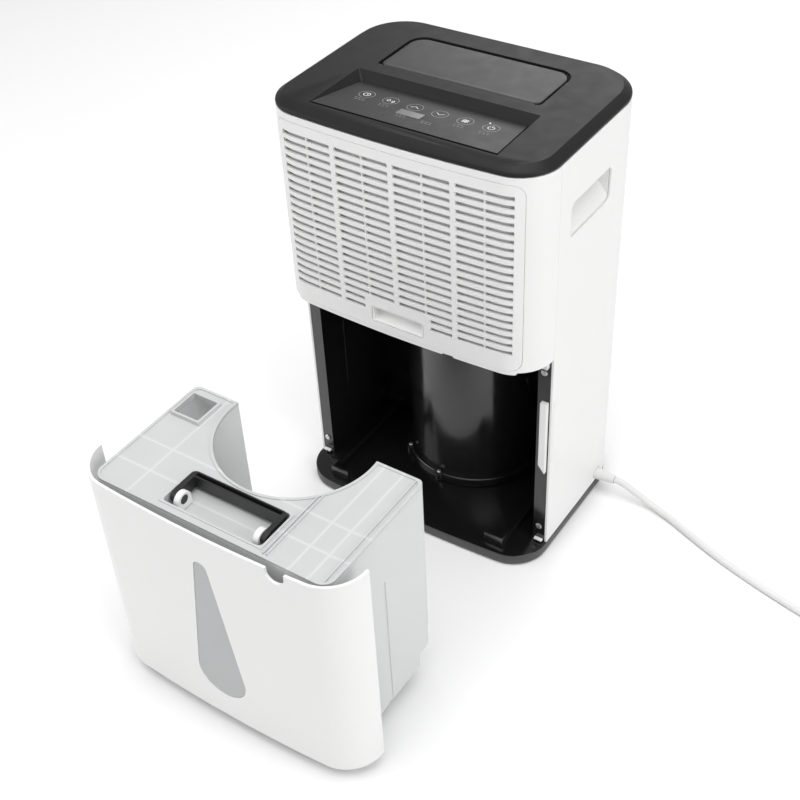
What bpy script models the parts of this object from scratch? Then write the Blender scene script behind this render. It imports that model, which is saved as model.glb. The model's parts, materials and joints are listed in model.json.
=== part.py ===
# Portable dehumidifier: white case, dark top with touch controls and an outlet flap, and a
# U-shaped water tank that slides out of a black bay and wraps round the compressor housing.
# Metres, +Z up, front towards -Y, origin on the floor under the middle of case and drawn-out tank.

import math

import bmesh
import bpy
from mathutils import Matrix, Vector
from mathutils.geometry import interpolate_bezier

for item in list(bpy.data.objects):
    bpy.data.objects.remove(item, do_unlink=True)

# case
GAP = 0.0003
WIDTH = 0.285
DEPTH = 0.205
HEIGHT = 0.465
BOW = 0.0064
FRONT_RADIUS = 0.035
REAR_RADIUS = 0.0505
WALL = 0.0024
SEAM_Y = -0.066
FOOT_TOP = 0.0022
BASE_TOP = 0.0135
SKIN_BASE = BASE_TOP + GAP
FRONT_LIP = 0.252
COVER_BASE = 0.4559
SKIN_TOP = COVER_BASE - GAP

# tank
TRAVEL = 0.298
TANK_PLAY = 0.0005
BUCKET_WALL = 0.0022
PANEL_WALL = 0.0026
NOTCH_RADIUS = 0.076
HOUSING_Y = 0.034
BULGE_RADIUS = 0.072
TANK_REAR = 0.042
TANK_FRONT = -0.0965
TANK_HALF = 0.124
TANK_BASE = 0.027
TANK_TOP = 0.245
PANEL_TOP = FRONT_LIP - 0.0005
RAIL_TOP = TANK_BASE - GAP

# the case's middle, measured from the origin
BODY_Y = (TRAVEL + BOW) / 2

# moving pieces
FLAP_AXIS = Vector((0, 0.0034, 0.4626))
FAN_AXIS = Vector((0, 0.024, 0.345))
HANDLE_AXIS = Vector((0, -0.075, 0.243))

# mains lead
CORD_RADIUS = 0.0036
LEAD_HEIGHT = 0.0225
COIL_CENTRE = Vector((0.505, -0.067, 0))
COIL_OUTER = 0.0486
COIL_INNER = 0.0264
COIL_HEIGHT = 0.0156


def material(name, colour, roughness=0.5, metallic=0.0, alpha=1.0):
    made = bpy.data.materials.get(name)
    if made:
        return made
    made = bpy.data.materials.new(name)
    made.use_nodes = True
    shader = made.node_tree.nodes["Principled BSDF"]
    shader.inputs["Base Color"].default_value = (*colour, 1)
    shader.inputs["Roughness"].default_value = roughness
    shader.inputs["Metallic"].default_value = metallic
    shader.inputs["Alpha"].default_value = alpha
    return made


WHITE = material("white_case", (0.83, 0.83, 0.82), 0.35)
DARK = material("dark_cover", (0.07, 0.07, 0.075), 0.4)
FLAP_GREY = material("flap_grey", (0.16, 0.16, 0.165), 0.45)
PANEL_GREY = material("panel_grey", (0.11, 0.11, 0.115), 0.4)
BLACK = material("bay_black", (0.012, 0.012, 0.012), 0.2)
RIM = material("base_grey", (0.05, 0.05, 0.052), 0.5)
FROSTED = material("frosted_tank", (0.86, 0.87, 0.87), 0.4, alpha=0.75)
WINDOW = material("smoked_window", (0.5, 0.51, 0.52), 0.25, alpha=0.7)
LENS = material("display_lens", (0.25, 0.25, 0.26), 0.1)
RUBBER = material("rubber", (0.03, 0.03, 0.03), 0.8)
LEAD = material("lead_white", (0.72, 0.72, 0.71), 0.5)
STEEL = material("steel", (0.6, 0.6, 0.6), 0.3, 1.0)
MOTOR = material("motor_paint", (0.05, 0.05, 0.055), 0.4)
COPPER = material("copper", (0.72, 0.35, 0.2), 0.3, 1.0)
ALUMINIUM = material("aluminium", (0.75, 0.76, 0.78), 0.35, 1.0)
INNER = material("inner_plastic", (0.45, 0.45, 0.46), 0.5)
MESH = material("filter_mesh", (0.2, 0.2, 0.21), 0.7)
BOARD = material("board_green", (0.03, 0.16, 0.07), 0.5)
FOAM = material("float_white", (0.85, 0.85, 0.82), 0.7)


def finish(body, name, slot, origin=None, smooth=True):
    """Turns a bmesh drawn about the case's middle into a named object of the row's frame."""
    bmesh.ops.recalc_face_normals(body, faces=body.faces)
    shift = Vector((0, BODY_Y, 0))
    place = shift + origin if origin else Vector()
    bmesh.ops.translate(body, verts=body.verts, vec=shift - place)
    mesh = bpy.data.meshes.new(name)
    body.to_mesh(mesh)
    body.free()
    mesh.materials.append(slot)
    if smooth:
        mesh.shade_smooth()
        mesh.set_sharp_from_angle(angle=math.radians(30))
    made = bpy.data.objects.new(name, mesh)
    made.location = place
    bpy.context.collection.objects.link(made)
    return made


def combine(target, tool, operation="DIFFERENCE"):
    tool.hide_render = True
    tool.display_type = "WIRE"
    change = target.modifiers.new(tool.name, "BOOLEAN")
    change.operation = operation
    change.object = tool
    change.solver = "EXACT"
    return target


def join_with(target, *tools):
    for tool in tools:
        combine(target, tool, "UNION")


def cut_with(target, *tools):
    for tool in tools:
        combine(target, tool)


def arc(cx, cy, radius, start, end, steps):
    turns = (math.radians(start + (end - start) * k / steps) for k in range(steps + 1))
    return [(cx + radius * math.cos(a), cy + radius * math.sin(a)) for a in turns]


def front_edge(inset, steps=6, spans=6):
    """Front half of the case's plan, from left side to right side, bowed forward in the middle."""
    half_w = WIDTH / 2 - inset
    half_d = DEPTH / 2 - inset
    radius = FRONT_RADIUS - inset
    side = half_w - radius
    flat = [(-side + 2 * side * k / spans, -half_d) for k in range(1, spans)]
    left = arc(-side, radius - half_d, radius, 180, 270, steps)
    right = arc(side, radius - half_d, radius, 270, 360, steps)
    bowed = []
    for x, y in left + flat + right:
        share = min(max((radius - half_d - y) / radius, 0), 1)
        bowed.append((x, y - BOW * (1 - (x / half_w) ** 2) * share))
    return bowed


def rear_edge(inset, steps=8):
    half_w = WIDTH / 2 - inset
    half_d = DEPTH / 2 - inset
    radius = REAR_RADIUS - inset
    right = arc(half_w - radius, half_d - radius, radius, 0, 90, steps)
    left = arc(radius - half_w, half_d - radius, radius, 90, 180, steps)
    return right + left


def plan(inset=0.0):
    return front_edge(inset) + rear_edge(inset)


def front_wall(inset, thickness, seam):
    """C-shaped plan of a wall that follows the case's front and ends on both sides at seam."""
    outer = WIDTH / 2 - inset
    inner = outer - thickness
    outside = [(-outer, seam)] + front_edge(inset) + [(outer, seam)]
    inside = [(inner, seam)] + front_edge(inset + thickness)[::-1] + [(-inner, seam)]
    return outside + inside


def rear_wall(inset, thickness, seam):
    outer = WIDTH / 2 - inset
    inner = outer - thickness
    outside = [(outer, seam)] + rear_edge(inset) + [(-outer, seam)]
    inside = [(-inner, seam)] + rear_edge(inset + thickness)[::-1] + [(inner, seam)]
    return outside + inside


def loft(name, rings, slot, origin=None, smooth=True):
    """Closed body through level plans: rings holds (plan, height) pairs of equal point counts."""
    body = bmesh.new()
    levels = [[body.verts.new((x, y, z)) for x, y in points] for points, z in rings]
    body.faces.new(levels[0][::-1])
    body.faces.new(levels[-1])
    for low, high in zip(levels, levels[1:]):
        for k in range(len(low)):
            after = (k + 1) % len(low)
            body.faces.new((low[k], low[after], high[after], high[k]))
    return finish(body, name, slot, origin, smooth)


def prism(name, points, low, high, slot, origin=None, smooth=True):
    return loft(name, [(points, low), (points, high)], slot, origin, smooth)


def upright(name, outline, near, far, slot, axis="Y", origin=None):
    """Prism whose outline stands upright: (x, z) pushed along Y, or (y, z) pushed along X."""
    body = bmesh.new()
    ends = []
    for depth in (near, far):
        if axis == "Y":
            ends.append([body.verts.new((a, depth, z)) for a, z in outline])
        else:
            ends.append([body.verts.new((depth, a, z)) for a, z in outline])
    body.faces.new(ends[0])
    body.faces.new(ends[1][::-1])
    for k in range(len(outline)):
        after = (k + 1) % len(outline)
        body.faces.new((ends[0][k], ends[1][k], ends[1][after], ends[0][after]))
    return finish(body, name, slot, origin)


def add_box(body, low, high):
    middle = (Vector(low) + Vector(high)) / 2
    size = Vector(high) - Vector(low)
    place = Matrix.Translation(middle) @ Matrix.Diagonal((*size, 1))
    bmesh.ops.create_cube(body, size=1, matrix=place)


def box(name, low, high, slot, origin=None):
    body = bmesh.new()
    add_box(body, low, high)
    return finish(body, name, slot, origin, smooth=False)


def boxes(name, corners, slot):
    body = bmesh.new()
    for low, high in corners:
        add_box(body, low, high)
    return finish(body, name, slot, smooth=False)


def turned(name, profile, centre, axis, slot, steps=32, origin=None):
    """Profile of (radius, distance along axis) pairs, closed on the axis or as a ring."""
    turn = {"Z": Matrix(), "Y": Matrix.Rotation(math.radians(-90), 4, "X"),
            "X": Matrix.Rotation(math.radians(90), 4, "Y")}[axis]
    body = bmesh.new()
    columns = []
    for k in range(steps):
        angle = 2 * math.pi * k / steps
        spot = (math.cos(angle), math.sin(angle))
        columns.append([None if r == 0 else body.verts.new((r * spot[0], r * spot[1], h))
                        for r, h in profile])
    poles = {j: body.verts.new((0, 0, h)) for j, (r, h) in enumerate(profile) if r == 0}
    count = len(profile)
    for k in range(steps):
        here = columns[k]
        there = columns[(k + 1) % steps]
        for j in range(count):
            after = (j + 1) % count
            if j in poles and after in poles:
                continue
            corners = [poles[j]] if j in poles else [here[j], there[j]]
            corners += [poles[after]] if after in poles else [there[after], here[after]]
            body.faces.new(corners)
    bmesh.ops.transform(body, verts=body.verts, matrix=Matrix.Translation(centre) @ turn)
    return finish(body, name, slot, origin)


def rod(name, centre, axis, radius, length, slot, steps=24, origin=None):
    profile = [(0, 0), (radius, 0), (radius, length), (0, length)]
    return turned(name, profile, centre, axis, slot, steps, origin)


def smooth_route(points, step):
    """Points every step along a smooth curve through the given ones."""
    knots = [Vector(p) for p in points]
    fine = []
    for k in range(len(knots) - 1):
        before = knots[max(k - 1, 0)]
        after = knots[min(k + 2, len(knots) - 1)]
        pull = (knots[k + 1] - before) / 6
        push = (after - knots[k]) / 6
        piece = interpolate_bezier(knots[k], knots[k] + pull, knots[k + 1] - push, knots[k + 1], 24)
        fine += piece[:-1]
    fine.append(knots[-1])
    route = [fine[0]]
    travelled = 0.0
    for a, b in zip(fine, fine[1:]):
        travelled += (b - a).length
        if travelled >= step:
            route.append(b)
            travelled = 0.0
    if (route[-1] - fine[-1]).length < step / 2:
        route.pop()
    route.append(fine[-1])
    return route


def tube(name, points, radius, slot, step, sides=2):
    drawn = bpy.data.curves.new(name, "CURVE")
    drawn.dimensions = "3D"
    drawn.bevel_depth = radius
    drawn.bevel_resolution = sides
    drawn.use_fill_caps = True
    line = drawn.splines.new("POLY")
    route = smooth_route(points, step)
    line.points.add(len(route) - 1)
    for spot, (x, y, z) in zip(line.points, route):
        spot.co = (x, y + BODY_Y, z, 1)
    drawn.materials.append(slot)
    made = bpy.data.objects.new(name, drawn)
    bpy.context.collection.objects.link(made)
    return made


# ---- base, feet and rails

def build_base():
    tray = plan()
    loft("base_tray", [(plan(0.001), FOOT_TOP + GAP), (tray, 0.0035), (tray, BASE_TOP)], RIM)
    spots = {"front_left": (-0.108, -0.078), "front_right": (0.108, -0.078),
             "rear_left": (-0.098, 0.072), "rear_right": (0.098, 0.072)}
    for side, (x, y) in spots.items():
        pad = [(0, 0), (0.008, 0), (0.009, 0.0006), (0.009, FOOT_TOP), (0, FOOT_TOP)]
        turned("foot_" + side, pad, (x, y, 0), "Z", RUBBER, 20)


def build_rails():
    stop = (0.086, 0.108)
    for name, side in (("rail_left", -1), ("rail_right", 1)):
        outline = [(stop[0], -0.097), (stop[1], -0.097), (stop[1], 0.030), (0.1045, 0.030),
                   (0.1045, -0.0925), (stop[0], -0.0925)]
        points = [(side * x, y) for x, y in outline][::side]
        prism(name, points, SKIN_BASE, RAIL_TOP, BLACK, smooth=False)


# ---- case shells

GRILLE_HALF = 0.127
GRILLE_LOW = 0.2565
GRILLE_HIGH = 0.449
GRIP_FRONT = -0.045
GRIP_REAR = 0.031
GRIP_LOW = 0.372
GRIP_HIGH = 0.408
LEAD_SPOT = (0.13, 0.046, LEAD_HEIGHT)
DRAIN_SPOT = (0.050, 0.060)
VENT_PITCH = 0.012


def build_rear_shell():
    shell = prism("rear_shell", rear_wall(0, WALL, SEAM_Y + GAP), SKIN_BASE, SKIN_TOP, WHITE)
    grips = [((side * 0.141 - 0.006, GRIP_FRONT, GRIP_LOW), (side * 0.141 + 0.006, GRIP_REAR, GRIP_HIGH))
             for side in (-1, 1)]
    cut_with(shell, boxes("grip_holes", grips, WHITE))
    cut_with(shell, rod("lead_hole", LEAD_SPOT, "X", 0.0069, 0.03, WHITE))
    cut_with(shell, rod("drain_hole", (DRAIN_SPOT[0], 0.09, DRAIN_SPOT[1]), "Y", 0.0105, 0.03, WHITE))
    vents = [((-0.062, 0.09, 0.300 + VENT_PITCH * k), (0.062, 0.12, 0.305 + VENT_PITCH * k))
             for k in range(10)]
    cut_with(shell, boxes("rear_vents", vents, WHITE))


def build_grips():
    """Cups behind the side openings: a lip inside the wall and a sloped pocket for the fingers."""
    inside = WIDTH / 2 - WALL - GAP
    rim = 0.004
    deep = 0.0135
    for name, side in (("grip_cup_left", -1), ("grip_cup_right", 1)):
        cup = box(name, (side * (inside - 0.016), GRIP_FRONT - rim, GRIP_LOW - rim),
                  (side * inside, GRIP_REAR + rim, GRIP_HIGH + rim), WHITE)
        pocket = [(inside + 0.002, GRIP_LOW + 0.0005), (inside + 0.002, GRIP_HIGH - 0.0005),
                  (inside - deep, GRIP_HIGH - 0.0005), (inside - deep, GRIP_HIGH - 0.012)]
        outline = [(side * x, z) for x, z in pocket]
        cut_with(cup, upright(name + "_hollow", outline, GRIP_FRONT + GAP, GRIP_REAR - GAP, WHITE))


def build_front_shell():
    shell = prism("front_shell", front_wall(0, WALL, SEAM_Y), FRONT_LIP, SKIN_TOP, WHITE)
    low = (-GRILLE_HALF, -0.13, GRILLE_LOW)
    cut_with(shell, box("grille_opening", low, (GRILLE_HALF, -0.0725, GRILLE_HIGH), WHITE))
    return shell


SLOT_PITCH = 0.0084
SLOT_HEIGHT = 0.0045
SLOT_ROWS = 20
SLOT_TOP = 0.4385
SLOT_EDGES = ((-0.119, -0.0645), (-0.0595, -0.0025), (0.0025, 0.0595), (0.0645, 0.119))


def slot_corners():
    """The rows of slots; the lowest two stop short of the finger recess in the middle."""
    corners = []
    for row in range(SLOT_ROWS):
        top = SLOT_TOP - row * SLOT_PITCH
        for left, right in SLOT_EDGES:
            if row >= SLOT_ROWS - 2 and left < 0 < right + 0.003:
                right = -0.036
            if row >= SLOT_ROWS - 2 and left == 0.0025:
                left = 0.036
            if right > left:
                corners.append(((left, -0.13, top - SLOT_HEIGHT), (right, -0.06, top)))
    return corners


def build_grille():
    grille = prism("intake_grille", front_wall(0, 0.0028, SEAM_Y), GRILLE_LOW + GAP,
                   GRILLE_HIGH - GAP, WHITE)
    width = GRILLE_HALF - GAP
    combine(grille, box("grille_trim", (-width, -0.13, 0.2), (width, -0.0728, 0.5), WHITE), "INTERSECT")
    cut_with(grille, boxes("grille_slots", slot_corners(), WHITE))
    recess = [((-0.029, -0.13, 0.2625), (0.029, -0.06, 0.2805))]
    cut_with(grille, boxes("pull_opening", recess, WHITE))
    cup = box("grille_pull", (-0.0285, -0.1085, 0.263), (0.0285, -0.0962, 0.2800), WHITE)
    cut_with(cup, box("pull_hollow", (-0.027, -0.12, 0.2645), (0.027, -0.0977, 0.2785), WHITE))


def build_filter():
    frame = box("filter_frame", (-0.104, -0.0955, 0.284), (0.104, -0.0915, 0.446), INNER)
    cut_with(frame, box("filter_window", (-0.098, -0.1, 0.290), (0.098, -0.09, 0.440), INNER))
    box("filter_mesh", (-0.0977, -0.0940, 0.2903), (0.0977, -0.0930, 0.4397), MESH)


# ---- top cover, controls and outlet

RECESS_HALF = 0.096
RECESS_FRONT = -0.091
RECESS_REAR = -0.0135
RECESS_DEPTH = 0.0095
FLAP_HALF = 0.084
FLAP_FRONT = 0.001
FLAP_REAR = 0.067


def wedge(half, front, rear, deep, raise_by=0.0):
    """Side view of the control recess: flush at the front, deepest at the rear."""
    top = HEIGHT + raise_by
    return [(front, top), (front, HEIGHT - 0.0012), (rear, HEIGHT - deep), (rear, top)]


def build_cover():
    top = HEIGHT
    rings = [(plan(), COVER_BASE), (plan(), COVER_BASE + 0.001), (plan(0.0016), top - 0.0046),
             (plan(0.0048), top - 0.0014), (plan(0.0086), top)]
    cover = loft("top_cover", rings, DARK)
    inner = [(plan(0.0027), COVER_BASE - 0.01), (plan(0.0027), COVER_BASE + 0.001),
             (plan(0.0050), top - 0.0052), (plan(0.0100), top - 0.0026)]
    cut_with(cover, loft("cover_hollow", inner, DARK))
    under = [(RECESS_FRONT - 0.002, top - 0.001), (RECESS_FRONT - 0.002, top - 0.0044),
             (RECESS_REAR + 0.002, top - RECESS_DEPTH - 0.0035), (RECESS_REAR + 0.002, top - 0.001)]
    half = RECESS_HALF + 0.002
    join_with(cover, upright("recess_body", under, -half, half, DARK, "X"))
    lugs = [((side * 0.0895 - 0.004, -0.004, top - 0.008), (side * 0.0895 + 0.004, 0.010, top - 0.001))
            for side in (-1, 1)]
    join_with(cover, boxes("flap_lugs", lugs, DARK))
    hollow = wedge(RECESS_HALF, RECESS_FRONT, RECESS_REAR, RECESS_DEPTH, 0.002)
    cut_with(cover, upright("recess_hollow", hollow, -RECESS_HALF, RECESS_HALF, DARK, "X"))
    low = (-FLAP_HALF - 0.0007, FLAP_FRONT - 0.0006, top - 0.02)
    cut_with(cover, box("outlet_opening", low, (FLAP_HALF + 0.0007, FLAP_REAR + 0.0022, top + 0.01), DARK))
    cut_with(cover, rod("pin_holes", (-0.1, FLAP_AXIS.y, FLAP_AXIS.z), "X", 0.0012, 0.2, DARK, 16))


def build_controls():
    """Panel plate on the sloping recess floor, with the display window let into it."""
    half = RECESS_HALF - 0.0015
    slope = (RECESS_DEPTH - 0.0012) / (RECESS_REAR - RECESS_FRONT)
    lift = 0.0003
    front = RECESS_FRONT + 0.0025
    rear = RECESS_REAR - 0.0006

    def floor_at(y):
        return HEIGHT - 0.0012 - slope * (y - RECESS_FRONT)

    outline = [(front, floor_at(front) + lift), (rear, floor_at(rear) + lift),
               (rear, floor_at(rear) + lift + 0.0013), (front, floor_at(front) + lift + 0.0013)]
    panel = upright("control_panel", outline, -half, half, PANEL_GREY, "X")
    window = (-0.0205, 0.0045, -0.0675, -0.0565)
    level = floor_at(window[2])
    cut_with(panel, box("window_hole", (window[0], window[2], level - 0.004),
                        (window[1], window[3], level + 0.004), LENS))
    a, b = window[2] + GAP, window[3] - GAP
    glass = [(a, floor_at(a) + lift), (b, floor_at(b) + lift),
             (b, floor_at(b) + lift + 0.0013), (a, floor_at(a) + lift + 0.0013)]
    upright("display_window", glass, window[0] + GAP, window[1] - GAP, LENS, "X")
    box("control_board", (-0.070, -0.084, 0.4445), (0.070, -0.042, 0.4461), BOARD)


def build_flap():
    """Outlet flap with a round bead along its front edge, which turns on two short pins."""
    y, z = FLAP_AXIS.y, FLAP_AXIS.z
    bead = arc(y, z, 0.0024, 270, 90, 10)
    top = [(FLAP_REAR * 0.5, HEIGHT), (FLAP_REAR - 0.001, HEIGHT - 0.0002),
           (FLAP_REAR, HEIGHT - 0.0008), (FLAP_REAR, HEIGHT - 0.0024), (y + 0.002, HEIGHT - 0.0024),
           (y + 0.001, z - 0.0021)]
    flap = upright("outlet_flap", bead + top, -FLAP_HALF, FLAP_HALF, FLAP_GREY, "X", FLAP_AXIS)
    radius = 0.016
    rounded = arc(FLAP_HALF - radius, FLAP_REAR - radius, radius, 0, 90, 6)
    rounded += [(FLAP_HALF - radius, FLAP_REAR + 0.002), (FLAP_HALF + 0.002, FLAP_REAR + 0.002),
                (FLAP_HALF + 0.002, FLAP_REAR - radius)]
    for name, side in (("flap_corner_left", -1), ("flap_corner_right", 1)):
        cut_with(flap, prism(name, [(side * a, b) for a, b in rounded], 0.45, 0.48, FLAP_GREY))
    bores = [rod(f"flap_bore_{k}", (x, y, z), "X", 0.0013, 0.005, FLAP_GREY, 16)
             for k, x in enumerate((-FLAP_HALF - 0.001, FLAP_HALF - 0.004))]
    cut_with(flap, *bores)
    rod("flap_pin_left", (-0.0925, y, z), "X", 0.0009, 0.0118, STEEL, 16)
    rod("flap_pin_right", (0.0807, y, z), "X", 0.0009, 0.0118, STEEL, 16)
    box("flap_motor", (0.094, -0.006, 0.432), (0.108, 0.012, 0.4525), MOTOR)


def build_outlet_grid():
    """Guard under the flap: a frame with bars, resting on the fan housing's mouth."""
    grid = box("outlet_grid", (-0.080, 0.006, 0.4503), (0.080, 0.062, 0.4533), INNER)
    bars = [((-0.077 + 0.0125 * k, 0.009, 0.44), (-0.068 + 0.0125 * k, 0.059, 0.46)) for k in range(12)]
    cut_with(grid, boxes("grid_openings", bars, INNER))


# ---- air and cooling

def comb(half, front, rear, spine, teeth):
    """Plan of a fin pack: thin fins standing forward from a spine."""
    pitch = 2 * half / teeth
    points = [(half, rear), (-half, rear)]
    for k in range(teeth):
        x = -half + k * pitch
        points += [(x, front), (x + pitch * 0.35, front), (x + pitch * 0.35, rear - spine)]
        if k < teeth - 1:
            points.append((x + pitch, rear - spine))
    points.pop()
    points.append((-half + (teeth - 1) * pitch + pitch * 0.35, rear - spine))
    points.append((half, rear - spine))
    return points[::-1]


def serpentine(y, low, rows, pitch, half):
    """Route of a coil's tube: straight runs joined by round bends, bottom to top."""
    points = []
    for row in range(rows):
        z = low + row * pitch
        way = 1 if row % 2 == 0 else -1
        points += [(-way * half, y, z), (0, y, z), (way * half, y, z)]
        if row < rows - 1:
            points.append((way * (half + pitch * 0.45), y, z + pitch / 2))
    return points


def build_coils():
    low, high = 0.276, 0.440
    tube_radius = 0.0026
    for name, front, back in (("evaporator", -0.086, -0.0725), ("condenser", -0.064, -0.0505)):
        prism(name + "_fins", comb(0.098, front, back, 0.002, 24), low, high, ALUMINIUM, smooth=False)
        run = serpentine(back + 0.0031, low + 0.014, 6, 0.027, 0.084)
        tube(name + "_tube", run, tube_radius, COPPER, 0.013, 1)
    floor, rim = 0.2575, 0.2680
    tray = box("drip_tray", (-0.112, -0.090, floor), (0.104, -0.0435, rim), INNER)
    join_with(tray, box("drip_channel", (-0.112, -0.05, floor), (-0.094, 0.026, rim), INNER))
    inside = floor + 0.0018
    cut_with(tray, box("tray_hollow", (-0.110, -0.088, inside), (0.102, -0.0455, 0.28), INNER))
    cut_with(tray, box("channel_hollow", (-0.110, -0.048, inside), (-0.096, 0.024, 0.28), INNER))
    cut_with(tray, rod("tray_drain", (-0.103, 0.015, 0.25), "Z", 0.004, 0.02, INNER))


def build_fan():
    y = FAN_AXIS.y
    z = FAN_AXIS.z
    housing = box("fan_housing", (-0.088, -0.038, 0.2685), (0.088, 0.068, 0.4500), INNER)
    cut_with(housing, box("scroll_hollow", (-0.086, -0.036, 0.2705), (0.086, 0.066, 0.4480), INNER))
    cut_with(housing, rod("fan_inlet", (0, -0.05, z), "Y", 0.056, 0.02, INNER, 40))
    cut_with(housing, box("fan_outlet", (-0.078, 0.008, 0.44), (0.078, 0.060, 0.47), INNER))
    drum = [(0.052, y - 0.054), (0.060, y - 0.054), (0.060, y), (0.0026, y), (0.0026, y - 0.010),
            (0.008, y - 0.010), (0.008, y - 0.0025), (0.052, y - 0.0025)]
    wheel = turned("fan_wheel", drum, (0, 0, z), "Y", DARK, 32, FAN_AXIS)
    body = bmesh.new()
    blades = 16
    for k in range(blades):
        turn = Matrix.Rotation(2 * math.pi * k / blades, 4, "Y")
        spot = Matrix.Translation((0, 0, z)) @ turn @ Matrix.Translation((0, y - 0.0275, 0.056))
        bmesh.ops.create_cube(body, size=1, matrix=spot @ Matrix.Diagonal((0.0135, 0.043, 0.014, 1)))
    cut_with(wheel, finish(body, "blade_gaps", DARK, smooth=False))
    rod("fan_shaft", (0, y - 0.012, z), "Y", 0.0023, 0.021, STEEL, 20, FAN_AXIS)
    shell = [(0, 0.0655), (0.024, 0.0655), (0.026, 0.0635), (0.026, 0.030), (0.024, 0.028),
             (0.0029, 0.028), (0.0029, 0.035), (0, 0.035)]
    turned("fan_motor", shell, (0, 0, z), "Y", MOTOR, 32)


def build_compressor():
    centre = (0, HOUSING_Y, 0)
    profile = [(0, 0.024), (0.038, 0.024), (0.046, 0.028), (0.050, 0.036), (0.050, 0.168)]
    profile += [(0.022 + 0.028 * math.cos(a), 0.168 + 0.037 * math.sin(a))
                for a in (math.radians(15 * k) for k in range(1, 6))]
    profile += [(0.020, 0.205), (0, 0.205)]
    turned("compressor", profile, centre, "Z", MOTOR, 28)
    for k, name in enumerate(("grommet_rear", "grommet_left", "grommet_right")):
        angle = math.radians(90 + 120 * k)
        spot = (0.030 * math.cos(angle), HOUSING_Y + 0.030 * math.sin(angle), SKIN_BASE)
        rod(name, spot, "Z", 0.007, 0.0237 - SKIN_BASE, RUBBER, 20)
    suction = [(0.012, 0.034, 0.2056), (0.012, 0.034, 0.222), (0.016, 0.036, 0.244), (0.036, 0.034, 0.2600),
               (0.066, 0.032, 0.2625), (0.100, 0.024, 0.2625), (0.114, 0.006, 0.266), (0.118, -0.020, 0.274),
               (0.118, -0.048, 0.284), (0.112, -0.064, 0.296), (0.106, -0.069, 0.304)]
    discharge = [(-0.012, 0.034, 0.2056), (-0.012, 0.035, 0.222), (-0.010, 0.042, 0.244), (0.004, 0.054, 0.2600),
                 (0.040, 0.058, 0.2625), (0.096, 0.054, 0.2625), (0.120, 0.040, 0.268), (0.128, 0.012, 0.278),
                 (0.127, -0.016, 0.290), (0.118, -0.038, 0.304), (0.108, -0.046, 0.312)]
    tube("suction_pipe", suction, 0.003, COPPER, 0.010, 1)
    tube("discharge_pipe", discharge, 0.0026, COPPER, 0.010, 1)


# ---- bay

def build_liner():
    """Black bay: side walls with front flanges, a rear wall that bulges round the compressor,
    and a ceiling with a hole over the compressor."""
    inside = TANK_HALF + 0.003
    wall = 0.0025
    flange = WIDTH / 2 - WALL - GAP
    rear = TANK_REAR + 0.004
    reach = math.sqrt(BULGE_RADIUS ** 2 - (rear - HOUSING_Y) ** 2)
    start = math.degrees(math.atan2(rear - HOUSING_Y, reach))
    small = BULGE_RADIUS - wall
    deep = rear + wall
    short = math.sqrt(small ** 2 - (deep - HOUSING_Y) ** 2)
    begin = math.degrees(math.atan2(deep - HOUSING_Y, short))
    front = SEAM_Y
    path = [(-flange, front), (-inside, front), (-inside, rear)]
    path += arc(0, HOUSING_Y, BULGE_RADIUS, 180 - start, 360 + start, 28)
    path += [(inside, rear), (inside, front), (flange, front), (flange, front + wall)]
    path += [(inside + wall, front + wall), (inside + wall, deep)]
    path += arc(0, HOUSING_Y, small, 360 + begin, 180 - begin, 28)
    path += [(-inside - wall, deep), (-inside - wall, front + wall), (-flange, front + wall)]
    liner = prism("bay_liner", path, SKIN_BASE, 0.2540, BLACK)
    roof = [(-flange, deep)] + front_edge(WALL + GAP + 0.0002) + [(flange, deep)]
    join_with(liner, prism("bay_roof", roof, FRONT_LIP + GAP, 0.2552, BLACK))
    cut_with(liner, rod("pipe_hole", (0, HOUSING_Y, 0.24), "Z", 0.062, 0.03, BLACK, 40))
    cut_with(liner, rod("drip_hole", (-0.103, 0.015, 0.24), "Z", 0.006, 0.03, BLACK))
    cut_with(liner, rod("switch_hole", (0.106, 0.03, 0.104), "Y", 0.0029, 0.03, BLACK))
    blocks = [((side * 0.095 - 0.009, rear - 0.0035, 0.070), (side * 0.095 + 0.009, rear + 0.001, 0.100))
              for side in (-1, 1)]
    join_with(liner, boxes("wall_bosses", blocks, BLACK))
    holes = [rod(f"screw_hole_{k}", (x, front - 0.001, z), "Y", 0.0021, 0.005, BLACK, 16)
             for k, (x, z) in enumerate(SCREWS)]
    cut_with(liner, *holes)


SCREWS = ((-0.1335, 0.034), (0.1335, 0.034), (-0.1335, 0.236), (0.1335, 0.236))


def build_screws():
    for k, (x, z) in enumerate(SCREWS):
        head = [(0, 0), (0.0026, 0), (0.0034, 0.0007), (0.0034, 0.0014), (0.0017, 0.0014), (0.0017, 0.008),
                (0, 0.009)]
        turned(f"liner_screw_{k + 1}", head, (x, SEAM_Y - 0.0014 - GAP, z), "Y", STEEL, 20)


def build_switch():
    body = box("tank_switch", (0.096, 0.052, 0.096), (0.116, 0.066, 0.112), MOTOR)
    cut_with(body, rod("switch_bore", (0.106, 0.05, 0.104), "Y", 0.0029, 0.013, MOTOR))
    tip = [(0, 0.0424), (0.0012, 0.0424), (0.0025, 0.0440), (0.0025, 0.0592), (0, 0.0592)]
    turned("switch_plunger", tip, (0.106, 0, 0.104), "Y", WHITE, 20, Vector((0.106, 0.0424, 0.104)))


def build_drain_cap():
    profile = [(0, 0.1024), (0.009, 0.1024), (0.0102, 0.1016), (0.0102, 0.1003), (0.007, 0.1003),
               (0.007, 0.090), (0, 0.090)]
    turned("drain_cap", profile, (0.050, 0, 0.060), "Y", RUBBER, 28, Vector((0.050, 0.1024, 0.060)))


# ---- tank

def shifted(points):
    return [(x, y - TRAVEL) for x, y in points]


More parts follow.
